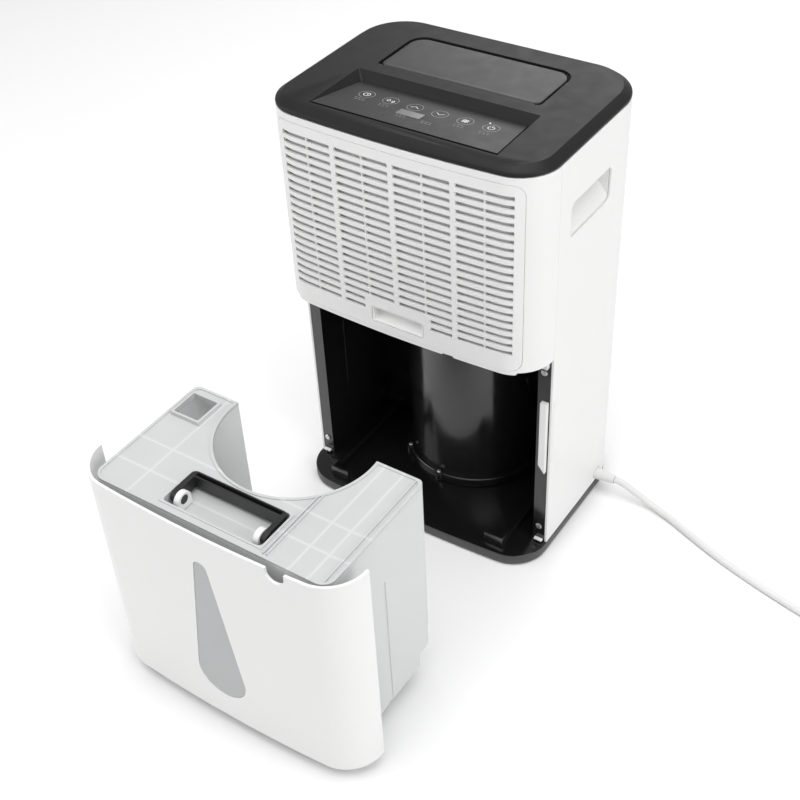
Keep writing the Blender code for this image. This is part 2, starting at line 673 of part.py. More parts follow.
def bucket_plan(inset):
    half = TANK_HALF - inset
    front = TANK_FRONT + inset
    rear = TANK_REAR - inset
    radius = NOTCH_RADIUS + inset
    rise = rear - HOUSING_Y
    reach = math.sqrt(radius ** 2 - rise ** 2)
    start = math.degrees(math.atan2(rise, reach))
    corner = 0.012 - inset
    points = arc(corner - half, front + corner, corner, 180, 270, 4)
    points += arc(half - corner, front + corner, corner, 270, 360, 4)
    points += arc(half - 0.006, rear - 0.006, 0.006, 0, 90, 3)
    points += arc(0, HOUSING_Y, radius, 360 + start, 180 - start, 28)
    points += arc(0.006 - half, rear - 0.006, 0.006, 90, 180, 3)
    return shifted(points)


def build_tank():
    outer = bucket_plan(0)
    rings = [(bucket_plan(0.001), TANK_BASE), (outer, TANK_BASE + 0.001), (outer, TANK_TOP)]
    tank = loft("tank_body", rings, FROSTED)
    inner = bucket_plan(BUCKET_WALL)
    cut_with(tank, prism("tank_hollow", inner, TANK_BASE + 0.0024, TANK_TOP + 0.01, FROSTED))
    groove = [((side * TANK_HALF - 0.0012, -0.0885 - TRAVEL + 0.004, 0.040),
               (side * TANK_HALF + 0.002, -0.0785 - TRAVEL + 0.004, 0.190)) for side in (-1, 1)]
    cut_with(tank, boxes("side_grooves", groove, FROSTED))

    lid = prism("tank_lid", outer, TANK_TOP + GAP, TANK_TOP + 0.0030, FROSTED)
    well = ((-0.054, -0.0900 - TRAVEL, 0.231), (0.054, -0.0450 - TRAVEL, TANK_TOP + 0.0028))
    hollow = ((-0.052, -0.0880 - TRAVEL, 0.233), (0.052, -0.0465 - TRAVEL, 0.27))
    join_with(lid, box("lid_well", *well, FROSTED))
    chimney = ((-0.118, -0.001 - TRAVEL, TANK_TOP + 0.001), (-0.086, 0.031 - TRAVEL, 0.2512))
    join_with(lid, box("lid_chimney", *chimney, FROSTED))
    cut_with(lid, box("well_hollow", *hollow, FROSTED))
    cut_with(lid, box("chimney_hole", (-0.116, 0.001 - TRAVEL, 0.23), (-0.088, 0.029 - TRAVEL, 0.26), FROSTED))

    skin = shifted(front_wall(0, PANEL_WALL, SEAM_Y - GAP))
    panel = prism("tank_front", skin, BASE_TOP + TANK_PLAY, PANEL_TOP, WHITE)
    window = arc(0, 0.072, 0.0265, 172, 368, 18) + arc(0, 0.212, 0.0072, 8, 172, 8)
    cut_with(panel, upright("window_opening", window, -0.13 - TRAVEL, -0.09 - TRAVEL, WHITE))
    inner = arc(0, 0.072, 0.0262, 172, 368, 18) + arc(0, 0.212, 0.0069, 8, 172, 8)
    upright("level_window", inner, -0.1084 - TRAVEL, -0.1064 - TRAVEL, WINDOW)
    notch = [(0.071, 0.26)] + [(x, z) for x, z in arc(0.080, 0.247, 0.009, 180, 360, 10)] + [(0.089, 0.26)]
    cut_with(panel, upright("grip_notch", notch, -0.13 - TRAVEL, -0.09 - TRAVEL, WHITE))


def build_handle():
    y = HANDLE_AXIS.y
    z = HANDLE_AXIS.z
    axis = HANDLE_AXIS - Vector((0, TRAVEL, 0))
    bail = [(-0.044, y - 0.005), (-0.040, y - 0.005), (-0.040, y + 0.021), (0.040, y + 0.021),
            (0.040, y - 0.005), (0.044, y - 0.005), (0.044, y + 0.0275), (-0.044, y + 0.0275)]
    handle = prism("tank_handle", shifted(bail), z - 0.006, z + 0.0068, BLACK, axis)
    cut_with(handle, box("handle_channel", (-0.039, y + 0.0224 - TRAVEL, z - 0.003),
                         (0.039, y + 0.0261 - TRAVEL, z + 0.01), BLACK))
    cut_with(handle, rod("handle_bore", (-0.05, y - TRAVEL, z), "X", 0.0024, 0.1, BLACK))
    for name, side in (("handle_lug_left", -1), ("handle_lug_right", 1)):
        x = side * 0.0475
        lug = box(name, (x - 0.0022, y - 0.008 - TRAVEL, 0.2333),
                  (x + 0.0022, y + 0.008 - TRAVEL, z + 0.0060), WHITE)
        start = x - 0.001 if side < 0 else x - 0.0065
        join_with(lug, rod(name + "_pin", (start, y - TRAVEL, z), "X", 0.0021, 0.0075, WHITE, 20))


def build_float():
    x, y = -0.102, -0.030 - TRAVEL
    rod("float_rod", (x, y, TANK_BASE + 0.0027), "Z", 0.0025, TANK_TOP - TANK_BASE - 0.0027, WHITE, 20)
    ring = [(0.0030, 0.0300), (0.011, 0.0300), (0.012, 0.0310), (0.012, 0.0435), (0.011, 0.0445),
            (0.0030, 0.0445)]
    turned("tank_float", ring, (x, y, 0), "Z", FOAM, 28, Vector((x, y, 0.0300)))


# ---- mains lead

CORD_ROUTE = [(0.1650, 0.046, LEAD_HEIGHT), (0.174, 0.0461, 0.0218), (0.190, 0.0464, 0.0150),
              (0.206, 0.0460, 0.0085), (0.222, 0.0434, 0.0050), (0.239, 0.0384, 0.0040),
              (0.262, 0.0290, 0.0039), (0.300, 0.0145, 0.0039),
              (0.345, 0.0010, 0.0039), (0.390, -0.0100, 0.0039), (0.430, -0.0180, 0.0039),
              (0.458, -0.0215, 0.0039), (0.4778, -0.0223, 0.0039)]


def build_lead():
    relief = [(0, 0), (0.0085, 0), (0.0085, 0.0014), (0.0066, 0.0014), (0.0066, 0.0045), (0.0062, 0.009),
              (0.0044, 0.0262), (0, 0.0262)]
    turned("strain_relief", relief, (0.1383, 0.046, LEAD_HEIGHT), "X", LEAD, 24)
    tube("power_cord", CORD_ROUTE, CORD_RADIUS, LEAD, 0.0100)
    ring = [(COIL_INNER, 0), (COIL_OUTER - 0.001, 0), (COIL_OUTER, 0.001), (COIL_OUTER, COIL_HEIGHT),
            (COIL_INNER, COIL_HEIGHT)]
    turned("cord_coil", ring, COIL_CENTRE, "Z", LEAD, 48)
    x = COIL_CENTRE.x + COIL_OUTER - CORD_RADIUS
    y = COIL_CENTRE.y - 0.0283
    body = [(0, 0), (0.0052, 0), (0.0075, -0.018), (0.0165, -0.022), (0.0175, -0.026),
            (0.0175, -0.046), (0.0160, -0.048), (0, -0.048)]
    plug = turned("plug", body, (x, y, 0.0178), "Y", LEAD, 28)
    for k, side in enumerate((-1, 1)):
        pin = rod(f"plug_pin_{k}", (x + side * 0.0095, y - 0.066, 0.0178), "Y", 0.0024, 0.020, LEAD, 16)
        join_with(plug, pin)


build_base()
build_rails()
build_rear_shell()
build_grips()
build_front_shell()
build_grille()
build_filter()
build_cover()
build_controls()
build_flap()
build_outlet_grid()
build_coils()
build_fan()
build_compressor()
build_liner()
build_screws()
build_switch()
build_drain_cap()
build_tank()
build_handle()
build_float()
build_lead()
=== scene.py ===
import json
import math

import bmesh
import bpy
from mathutils import Matrix, Vector
from mathutils.geometry import interpolate_bezier


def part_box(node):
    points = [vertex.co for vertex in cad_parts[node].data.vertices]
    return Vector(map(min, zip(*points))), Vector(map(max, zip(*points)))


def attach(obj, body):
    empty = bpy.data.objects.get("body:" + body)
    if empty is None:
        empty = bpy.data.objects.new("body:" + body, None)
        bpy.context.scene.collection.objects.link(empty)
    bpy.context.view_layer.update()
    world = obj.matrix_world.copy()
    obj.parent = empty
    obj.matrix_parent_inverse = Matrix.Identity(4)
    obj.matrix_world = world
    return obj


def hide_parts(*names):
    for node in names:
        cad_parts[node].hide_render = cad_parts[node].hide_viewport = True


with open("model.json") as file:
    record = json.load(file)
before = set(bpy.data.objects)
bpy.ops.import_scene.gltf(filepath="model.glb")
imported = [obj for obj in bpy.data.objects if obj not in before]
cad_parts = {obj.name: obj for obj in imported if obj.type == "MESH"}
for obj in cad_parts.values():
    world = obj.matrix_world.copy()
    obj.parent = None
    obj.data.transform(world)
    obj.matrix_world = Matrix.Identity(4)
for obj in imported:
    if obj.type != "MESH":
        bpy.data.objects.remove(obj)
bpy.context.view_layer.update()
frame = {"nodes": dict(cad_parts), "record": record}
nodes = frame["nodes"]

# the case and the drawn-out tank, measured on the frame
coverLow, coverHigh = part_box("top_cover")
baseLow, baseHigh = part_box("base_tray")
shellLow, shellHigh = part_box("rear_shell")
lipLow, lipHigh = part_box("front_shell")
drawnLow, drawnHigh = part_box("tank_front")
bucketLow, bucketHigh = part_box("tank_body")
bow = 0.0064
middle = Vector((0, (coverLow.y + coverHigh.y + bow) / 2, 0))
drawn = Vector((0, drawnLow.y - coverLow.y, 0))
width = coverHigh.x - coverLow.x
depth = coverHigh.y - coverLow.y - bow
topZ = coverHigh.z
seamY = lipHigh.y - middle.y
frontRound = 0.035
rearRound = 0.0505
print("frame read, case", round(width, 4), round(depth, 4), round(topZ, 4))


cameraSettings = {"place": (0.5646, -0.9025, 0.9969), "yaw": 35.52, "pitch": -40.11, "roll": 3.15, "lens": 58.49}


def buildCamera(s):
    cam = bpy.data.cameras.new("camera")
    cam.lens = s["lens"]
    cam.sensor_width = 36
    holder = bpy.data.objects.new("camera", cam)
    turn = Matrix.Rotation(math.radians(s["yaw"]), 4, "Z") @ Matrix.Rotation(math.radians(s["pitch"]), 4, "X")
    turn = turn @ Matrix.Rotation(math.radians(s["roll"]), 4, "Y") @ Matrix.Rotation(math.radians(90), 4, "X")
    holder.matrix_world = Matrix.Translation(Vector(s["place"]) + middle) @ turn
    bpy.context.collection.objects.link(holder)
    bpy.context.scene.camera = holder


lightSettings = [
    {"name": "topSoft", "place": (0.3, -0.4, 2.6), "aim": (0, 0, 0.2), "size": 2.6, "power": 52},
    {"name": "frontSoft", "place": (-2.5, -1.8, 1.4), "aim": (0, 0, 0.2), "size": 1.8, "power": 25},
    {"name": "sideSoft", "place": (2.4, -0.6, 1.3), "aim": (0, 0, 0.25), "size": 1.6, "power": 20},
    {"name": "backSoft", "place": (-0.6, 2.2, 1.6), "aim": (0, 0, 0.3), "size": 1.6, "power": 14},
]


def buildLights():
    for s in lightSettings:
        lamp = bpy.data.lights.new(s["name"], "AREA")
        lamp.shape = "DISK"
        lamp.size = s["size"]
        lamp.energy = s["power"]
        holder = bpy.data.objects.new(s["name"], lamp)
        place = Vector(s["place"]) + middle
        aim = (Vector(s["aim"]) + middle - place).to_track_quat("-Z", "Y")
        holder.matrix_world = Matrix.Translation(place) @ aim.to_matrix().to_4x4()
        bpy.context.collection.objects.link(holder)
    world = bpy.data.worlds.new("studio")
    world.use_nodes = True
    world.node_tree.nodes["Background"].inputs["Color"].default_value = (1, 1, 1, 1)
    world.node_tree.nodes["Background"].inputs["Strength"].default_value = 0.38
    bpy.context.scene.world = world


# a socket that takes part in sums
class Wire:
    def __init__(self, paint, socket):
        self.paint = paint
        self.socket = socket

    def calc(self, operation, *others):
        inputs = {k: v for k, v in enumerate((self,) + others)}
        return self.paint.node("ShaderNodeMath", {"operation": operation}, inputs)

    def __add__(self, other):
        return self.calc("ADD", other)

    __radd__ = __add__

    def __sub__(self, other):
        return self.calc("SUBTRACT", other)

    def __rsub__(self, other):
        return self.paint.node("ShaderNodeMath", {"operation": "SUBTRACT"}, {0: other, 1: self})

    def __mul__(self, other):
        return self.calc("MULTIPLY", other)

    __rmul__ = __mul__

    def __truediv__(self, other):
        return self.calc("DIVIDE", other)


# one procedural material: a Principled shader and the nodes that feed it
class Paint:
    def __init__(self, name, **fixed):
        self.material = bpy.data.materials.new(name)
        self.material.use_nodes = True
        self.tree = self.material.node_tree
        self.shader = self.tree.nodes["Principled BSDF"]
        self.out = self.tree.nodes["Material Output"]
        for key, value in fixed.items():
            socket = self.shader.inputs[key.replace("_", " ").title().replace("Ior", "IOR")]
            socket.default_value = (*value, 1) if isinstance(value, tuple) else value
        self.coords = self.node("ShaderNodeTexCoord", {}, {}, "Object")

    def node(self, kind, settings, inputs, output=0):
        made = self.tree.nodes.new(kind)
        for key, value in settings.items():
            if key == "stops":
                for k, (place, colour) in enumerate(value):
                    stop = made.color_ramp.elements[k] if k < 2 else made.color_ramp.elements.new(place)
                    stop.position = place
                    stop.color = (*colour, 1)
            else:
                setattr(made, key, value)
        for key, value in inputs.items():
            if isinstance(value, Wire):
                self.tree.links.new(value.socket, made.inputs[key])
            else:
                made.inputs[key].default_value = (*value, 1) if isinstance(value, tuple) and len(value) == 3 and \
                    made.inputs[key].type == "RGBA" else value
        return Wire(self, made.outputs[output])

    def feed(self, key, wire):
        self.tree.links.new(wire.socket, self.shader.inputs[key])
        return self

    def axis(self, name):
        return self.node("ShaderNodeSeparateXYZ", {}, {0: self.coords}, name)

    def noise(self, scale, detail=2.0, rough=0.5):
        return self.node("ShaderNodeTexNoise", {}, {"Vector": self.coords, "Scale": scale, "Detail": detail,
                                                    "Roughness": rough}, "Fac")

    def blendColour(self, factor, first, second):
        return self.node("ShaderNodeMix", {"data_type": "RGBA"}, {0: factor, 6: (*first, 1), 7: (*second, 1)}, 2)

    def spread(self, wire, low, high):
        return self.node("ShaderNodeMapRange", {}, {"Value": wire, "From Min": 0.3, "From Max": 0.7,
                                                    "To Min": low, "To Max": high}, "Result")

    def bump(self, height, strength, distance):
        made = self.node("ShaderNodeBump", {}, {"Height": height, "Strength": strength, "Distance": distance}, "Normal")
        return self.feed("Normal", made)


# moulded plastic: spark-eroded grain, faint clouding of colour and gloss
def moulded(name, colour, rough, grain=1400, lift=0.00002, vary=0.03, **fixed):
    paint = Paint(name, Base_Color=colour, Roughness=rough, **fixed)
    cloud = paint.noise(9, 3)
    darker = tuple(c * (1 - vary) for c in colour)
    lighter = tuple(min(c * (1 + vary), 1) for c in colour)
    paint.feed("Base Color", paint.blendColour(cloud, darker, lighter))
    fine = paint.noise(grain, 2, 0.6)
    paint.feed("Roughness", paint.spread(paint.noise(60, 2), rough - 0.04, rough + 0.04))
    paint.bump(fine, 0.25, lift)
    return paint.material


# frosted polypropylene: light passes through it and scatters
def frosted(name, colour, see, alpha):
    paint = Paint(name, Base_Color=colour, Roughness=0.42, Alpha=alpha)
    cloud = paint.noise(14, 3)
    paint.feed("Base Color", paint.blendColour(cloud, tuple(c * 0.97 for c in colour), colour))
    paint.bump(paint.noise(700, 2), 0.2, 0.00002)
    through = paint.node("ShaderNodeBsdfTranslucent", {}, {"Color": (*colour, 1)})
    mixed = paint.node("ShaderNodeMixShader", {}, {0: see, 1: Wire(paint, paint.shader.outputs[0]), 2: through})
    paint.tree.links.new(mixed.socket, paint.out.inputs["Surface"])
    return paint.material


# frosted lid whose ribs beneath show through as lighter bars with soft edges
def ribbed(name, cell, rib):
    paint = Paint(name, Base_Color=cell, Roughness=0.4, Alpha=0.95)
    x, y = paint.axis("X"), paint.axis("Y") - (middle.y + drawn.y)
    bars = [(x, 0.085), (x, -0.085), (x, 0.104), (y, -0.066), (y, -0.036)]
    mask = None
    for line, place in bars:
        near = 1 - ((line - place).calc("ABSOLUTE") - 0.0004) / 0.0015
        near = near.calc("MINIMUM", 1.0).calc("MAXIMUM", 0.0)
        mask = near if mask is None else mask.calc("MAXIMUM", near)
    cloud = paint.noise(26, 3)
    cells = paint.blendColour(cloud, tuple(c * 0.96 for c in cell), tuple(min(c * 1.05, 1) for c in cell))
    lighter = paint.node("ShaderNodeMix", {"data_type": "RGBA"}, {0: mask, 6: cells, 7: (*rib, 1)}, 2)
    paint.feed("Base Color", lighter)
    paint.bump(paint.noise(700, 2), 0.2, 0.00002)
    return paint.material


# metal with fine lines across one axis, as drawn or finned stock has
def lined(name, colour, rough, axis, pitch, metallic=1.0):
    paint = Paint(name, Base_Color=colour, Roughness=rough, Metallic=metallic)
    wave = (paint.axis(axis) * (2 * math.pi / pitch)).calc("SINE")
    streak = paint.noise(240, 3)
    paint.feed("Roughness", paint.spread(streak, rough - 0.08, rough + 0.1))
    paint.feed("Base Color", paint.blendColour(streak, tuple(c * 0.85 for c in colour), colour))
    paint.bump(wave * 0.5 + streak, 0.3, 0.00004)
    return paint.material


# open filter mesh: a grid of threads with holes between them, the holes painted darker as painted shade seen through
# them
def woven(name, colour, pitch):
    paint = Paint(name, Base_Color=colour, Roughness=0.7)
    gaps = [(paint.axis(a) * (1 / pitch)).calc("FRACT").calc("GREATER_THAN", 0.35) for a in ("X", "Z")]
    shadedHoles = gaps[0] * gaps[1]
    # painted shade: the holes are darker than the threads, for the dark inside seen through them
    paint.feed("Base Color", paint.blendColour(shadedHoles, colour, tuple(c * 0.8 for c in colour)))
    paint.bump(1 - shadedHoles, 0.6, 0.0002)
    return paint.material


def circuit(name):
    paint = Paint(name, Base_Color=(0.02, 0.12, 0.05), Roughness=0.45)
    cells = paint.node("ShaderNodeTexBrick", {}, {"Vector": paint.coords, "Scale": 140, "Mortar Size": 0.03,
                                                  "Color1": (0.02, 0.12, 0.05, 1), "Color2": (0.015, 0.09, 0.04, 1),
                                                  "Mortar": (0.10, 0.32, 0.12, 1)}, "Color")
    paint.feed("Base Color", cells)
    return paint.material


# satin grey round the tray's side, glossy black on its top face
def trayFinish(name, rim, top):
    paint = Paint(name, Base_Color=rim, Roughness=0.42)
    above = ((paint.axis("Z") - (baseHigh.z - 0.0009)) / 0.0005).calc("MINIMUM", 1.0).calc("MAXIMUM", 0.0)
    cloud = paint.blendColour(paint.noise(9, 3), tuple(c * 0.95 for c in rim), tuple(c * 1.05 for c in rim))
    paint.feed("Base Color", paint.node("ShaderNodeMix", {"data_type": "RGBA"}, {0: above, 6: cloud, 7: (*top, 1)}, 2))
    paint.feed("Roughness", 0.42 - above * 0.26)
    paint.bump(paint.noise(900, 2), 0.2, 0.00002)
    return paint.material


def stageFloor(name):
    paint = Paint(name, Base_Color=(0.93, 0.93, 0.93), Roughness=0.75)
    paint.feed("Base Color", paint.blendColour(paint.noise(1.5, 2), (0.925, 0.925, 0.925), (0.935, 0.935, 0.935)))
    return paint.material


finishes = {
    "white_case": moulded("whiteCase", (0.82, 0.82, 0.815), 0.36, vary=0.01),
    "dark_cover": moulded("darkCover", (0.015, 0.015, 0.016), 0.44, grain=900, lift=0.00004,
                          Specular_IOR_Level=0.2),
    "flap_grey": moulded("flapGrey", (0.044, 0.044, 0.046), 0.42, grain=900, lift=0.00004,
                         Specular_IOR_Level=0.3),
    "panel_grey": moulded("panelGrey", (0.019, 0.019, 0.020), 0.38, grain=1600, Specular_IOR_Level=0.3),
    "bay_black": moulded("bayBlack", (0.009, 0.009, 0.0095), 0.17, grain=500, lift=0.00001, vary=0.2,
                         Specular_IOR_Level=0.85),
    "base_grey": trayFinish("baseGrey", (0.052, 0.052, 0.054), (0.007, 0.007, 0.0075)),
    "frosted_tank": frosted("frostedTank", (0.91, 0.92, 0.92), 0.35, 0.93),
    "smoked_window": frosted("smokedWindow", (0.68, 0.69, 0.695), 0.3, 0.95),
    "display_lens": moulded("displayLens", (0.16, 0.16, 0.165), 0.12, vary=0.02),
    "rubber": moulded("rubber", (0.03, 0.03, 0.03), 0.75, grain=700, lift=0.00005),
    "lead_white": moulded("leadWhite", (0.72, 0.72, 0.715), 0.45, grain=800),
    "steel": lined("steel", (0.6, 0.6, 0.6), 0.3, "Z", 0.0004),
    "motor_paint": moulded("motorPaint", (0.03, 0.03, 0.032), 0.35, grain=300, lift=0.00005),
    "switch_black": moulded("switchBlack", (0.03, 0.03, 0.032), 0.55),
    # painted shade: a darkened copy of steel for the flap pins, which sit in the shaded gap round the flap
    "gap_shade_steel": lined("gapShadeSteel", (0.10, 0.10, 0.102), 0.4, "Y", 0.0004),
    "copper": lined("copper", (0.75, 0.38, 0.22), 0.28, "X", 0.0009),
    "aluminium": lined("aluminium", (0.78, 0.79, 0.8), 0.35, "X", 0.0016),
    "inner_plastic": moulded("innerPlastic", (0.42, 0.42, 0.43), 0.5),
    "filter_mesh": woven("filterMesh", (0.74, 0.74, 0.745), 0.0016),
    "board_green": circuit("boardGreen"),
    "float_white": moulded("floatWhite", (0.8, 0.8, 0.77), 0.7, grain=500, lift=0.00008),
    "symbolInk": moulded("symbolInk", (0.75, 0.76, 0.77), 0.5, vary=0.01),
    "ringInk": moulded("ringInk", (0.34, 0.34, 0.35), 0.5, vary=0.01),
    "lampLens": moulded("lampLens", (0.8, 0.82, 0.82), 0.3, vary=0.01),
    "frosted_lid": ribbed("frostedLid", (0.58, 0.59, 0.592), (0.665, 0.675, 0.677)),
    "handle_black": moulded("handleBlack", (0.018, 0.018, 0.019), 0.35, grain=900),
}
slotOf = {part["node"]: part["material_slot"] for part in frame["record"]["subparts"]}
gapShadePins = {"flap_pin_left": "gap_shade_steel", "flap_pin_right": "gap_shade_steel"}  # painted shade: the pins get a dark copy of steel to match the shade in the flap's gap, where they show
for nodeName, cadPiece in nodes.items():
    cadPiece.data.materials.clear()
    cadPiece.data.materials.append(finishes[gapShadePins.get(nodeName, slotOf[nodeName])])
print("finishes made")


def arc(cx, cy, radius, start, end, steps):
    turns = (math.radians(start + (end - start) * k / steps) for k in range(steps + 1))
    return [(cx + radius * math.cos(a), cy + radius * math.sin(a)) for a in turns]


# plan of the case's front from left to right, bowed forward in its middle
def frontEdge(inset=0.0, steps=14, spans=16):
    halfW = width / 2 - inset
    halfD = depth / 2 - inset
    radius = frontRound - inset
    side = halfW - radius
    points = arc(-side, radius - halfD, radius, 180, 270, steps)
    points += [(-side + 2 * side * k / spans, -halfD) for k in range(1, spans)]
    points += arc(side, radius - halfD, radius, 270, 360, steps)
    return [(x, y - bow * (1 - (x / halfW) ** 2) * min(max((radius - halfD - y) / radius, 0), 1)) for x, y in points]


def rearEdge(inset=0.0, steps=16):
    halfW = width / 2 - inset
    halfD = depth / 2 - inset
    radius = rearRound - inset
    right = arc(halfW - radius, halfD - radius, radius, 0, 90, steps)
    return right + arc(radius - halfW, halfD - radius, radius, 90, 180, steps)


def casePlan(inset=0.0):
    return frontEdge(inset) + rearEdge(inset)


def frontWall(inset, thickness, seam):
    outer = width / 2 - inset
    inner = outer - thickness
    outside = [(-outer, seam)] + frontEdge(inset) + [(outer, seam)]
    return outside + [(inner, seam)] + frontEdge(inset + thickness)[::-1] + [(-inner, seam)]


def rearWall(inset, thickness, seam):
    outer = width / 2 - inset
    inner = outer - thickness
    outside = [(outer, seam)] + rearEdge(inset) + [(-outer, seam)]
    return outside + [(-inner, seam)] + rearEdge(inset + thickness)[::-1] + [(inner, seam)]


def loopOf(bm, points, z):
    verts = [bm.verts.new((x, y, z)) for x, y in points]
    return [bm.edges.new((a, b)) for a, b in zip(verts, verts[1:] + verts[:1])]


# closed body through level outlines, given as (points, height) pairs
def stack(rings):
    bm = bmesh.new()
    loops = [loopOf(bm, points, z) for points, z in rings]
    for low, high in zip(loops, loops[1:]):
        bmesh.ops.bridge_loops(bm, edges=low + high)
    for end in (loops[0], loops[-1]):
        bmesh.ops.contextual_create(bm, geom=end)
    bmesh.ops.recalc_face_normals(bm, faces=bm.faces)
    return bm


def raised(points, low, high):
    bm = bmesh.new()
    face = bm.faces.new([bm.verts.new((x, y, low)) for x, y in points])
    pushed = bmesh.ops.extrude_face_region(bm, geom=[face])["geom"]
    bmesh.ops.translate(bm, verts=[v for v in pushed if isinstance(v, bmesh.types.BMVert)], vec=(0, 0, high - low))
    bmesh.ops.recalc_face_normals(bm, faces=bm.faces)
    return bm


# outline standing up, (x, z) pushed along Y or (y, z) pushed along X
def upright(points, near, far, axis="Y"):
    bm = raised(points, near, far)
    turn = Matrix(((1, 0, 0, 0), (0, 0, 1, 0), (0, 1, 0, 0), (0, 0, 0, 1)))
    if axis == "X":
        turn = Matrix(((0, 0, 1, 0), (1, 0, 0, 0), (0, 1, 0, 0), (0, 0, 0, 1)))
    bmesh.ops.transform(bm, matrix=turn, verts=bm.verts)
    bmesh.ops.recalc_face_normals(bm, faces=bm.faces)
    return bm


def block(bm, low, high, radius=0.0, segments=3):
    low, high = Vector(low), Vector(high)
    place = Matrix.Translation((low + high) / 2) @ Matrix.Diagonal((*(high - low), 1))
    made = bmesh.ops.create_cube(bm, size=1, matrix=place)["verts"]
    if radius:
        edges = list({e for v in made for e in v.link_edges})
        bmesh.ops.bevel(bm, geom=edges, offset=radius, segments=segments, profile=0.5, affect="EDGES", material=-1)
    return bm


def blocks(corners, radius=0.0):
    bm = bmesh.new()
    for low, high in corners:
        block(bm, low, high, radius)
    return bm


# profile of (radius, height) pairs spun round an axis through centre
def turned(profile, centre, axis="Z", steps=48):
    bm = bmesh.new()
    verts = [bm.verts.new((r, 0, h)) for r, h in profile]
    edges = [bm.edges.new(pair) for pair in zip(verts, verts[1:])]
    if profile[0][0] > 0:
        edges.append(bm.edges.new((verts[-1], verts[0])))
    bmesh.ops.spin(bm, geom=verts + edges, cent=(0, 0, 0), axis=(0, 0, 1), angle=2 * math.pi, steps=steps, use_merge=True)
    bmesh.ops.remove_doubles(bm, verts=bm.verts, dist=1e-6)
    turn = {"Z": Matrix(), "Y": Matrix.Rotation(math.radians(-90), 4, "X"), "X": Matrix.Rotation(math.radians(90), 4, "Y")}
    bmesh.ops.transform(bm, matrix=Matrix.Translation(centre) @ turn[axis], verts=bm.verts)
    bmesh.ops.recalc_face_normals(bm, faces=bm.faces)
    return bm


def rod(centre, axis, radius, length, steps=32):
    return turned([(0, 0), (radius, 0), (radius, length), (0, length)], centre, axis, steps)


def objectOf(bm, name, shift=Vector()):
    bmesh.ops.translate(bm, verts=bm.verts, vec=middle + shift)
    mesh = bpy.data.meshes.new(name)
    bm.to_mesh(mesh)
    bm.free()
    made = bpy.data.objects.new(name, mesh)
    bpy.context.collection.objects.link(made)
    return made


# cuts or joins bmesh tools with a piece, and keeps the result as its mesh
def carve(piece, tools, operation="DIFFERENCE", shift=Vector()):
    spare = [objectOf(tool, "tool", shift) for tool in tools]
    for tool in spare:
        change = piece.modifiers.new("carve", "BOOLEAN")
        change.operation = operation
        change.solver = "EXACT"
        change.object = tool
    bpy.context.view_layer.update()
    graph = bpy.context.evaluated_depsgraph_get()
    piece.data = bpy.data.meshes.new_from_object(piece.evaluated_get(graph))
    piece.modifiers.clear()
    for tool in spare:
        bpy.data.objects.remove(tool)
    return piece


# small rounded edges, as a mould gives them
def soften(piece, radius, segments=2, angle=35):
    change = piece.modifiers.new("edges", "BEVEL")
    change.width = radius
    change.segments = segments
    change.limit_method = "ANGLE"
    change.angle_limit = math.radians(angle)
    change.harden_normals = False
    return piece


def fit(piece, finish, body, stands=()):
    piece.data.materials.clear()
    piece.data.materials.append(finishes[finish])
    piece.data.shade_smooth()
    piece.data.set_sharp_from_angle(angle=math.radians(34))
    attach(piece, body)
    if stands:
        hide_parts(*stands)
    return piece


leadSettings = {
    "radius": 0.0036, "length": 1.87, "exit": (0.1425, 0.046, 0.0225),
    "route": [(0.1650, 0.046, 0.0225), (0.174, 0.0461, 0.0218), (0.190, 0.0464, 0.0150), (0.206, 0.0460, 0.0085),
              (0.222, 0.0434, 0.0050), (0.239, 0.0384, 0.0040), (0.262, 0.0290, 0.0039), (0.300, 0.0145, 0.0039),
              (0.345, 0.0010, 0.0039), (0.390, -0.0100, 0.0039), (0.430, -0.0180, 0.0039),
              (0.458, -0.0215, 0.0039), (0.4778, -0.0223, 0.0039)],
    "coil": (0.505, -0.067), "columns": (0.0447, 0.0375, 0.0303), "layers": (0.0039, 0.0112), "pointsPerTurn": 24,
}


# three turns inwards on the floor, then three and a quarter outwards on top of them
def coilPoints(s):
    outer, mid, inner = s["columns"]
    low, high = s["layers"]
    radii = [outer, mid, inner, inner, mid, outer, outer]
    heights = [low, low, low, high, high, high, high]
    points = []
    count = s["pointsPerTurn"]
    for k in range(6 * count + count // 4 + 1):
        turn, part = divmod(k, count)
        share = min(max((part / count - 0.75) / 0.25, 0), 1)
        share = share * share * (3 - 2 * share)
        after = min(turn + 1, 6)
        radius = radii[turn] + (radii[after] - radii[turn]) * share
        height = heights[turn] + (heights[after] - heights[turn]) * share
        angle = math.radians(90) - 2 * math.pi * k / count
        points.append((s["coil"][0] + radius * math.cos(angle), s["coil"][1] + radius * math.sin(angle), height))
    return points


def smoothRoute(points):
    knots = [Vector(p) for p in points]
    fine = []
    for k in range(len(knots) - 1):
        pull = (knots[k + 1] - knots[max(k - 1, 0)]) / 6
        push = (knots[min(k + 2, len(knots) - 1)] - knots[k]) / 6
        fine += interpolate_bezier(knots[k], knots[k] + pull, knots[k + 1] - push, knots[k + 1], 12)[:-1]
    return fine + [knots[-1]]


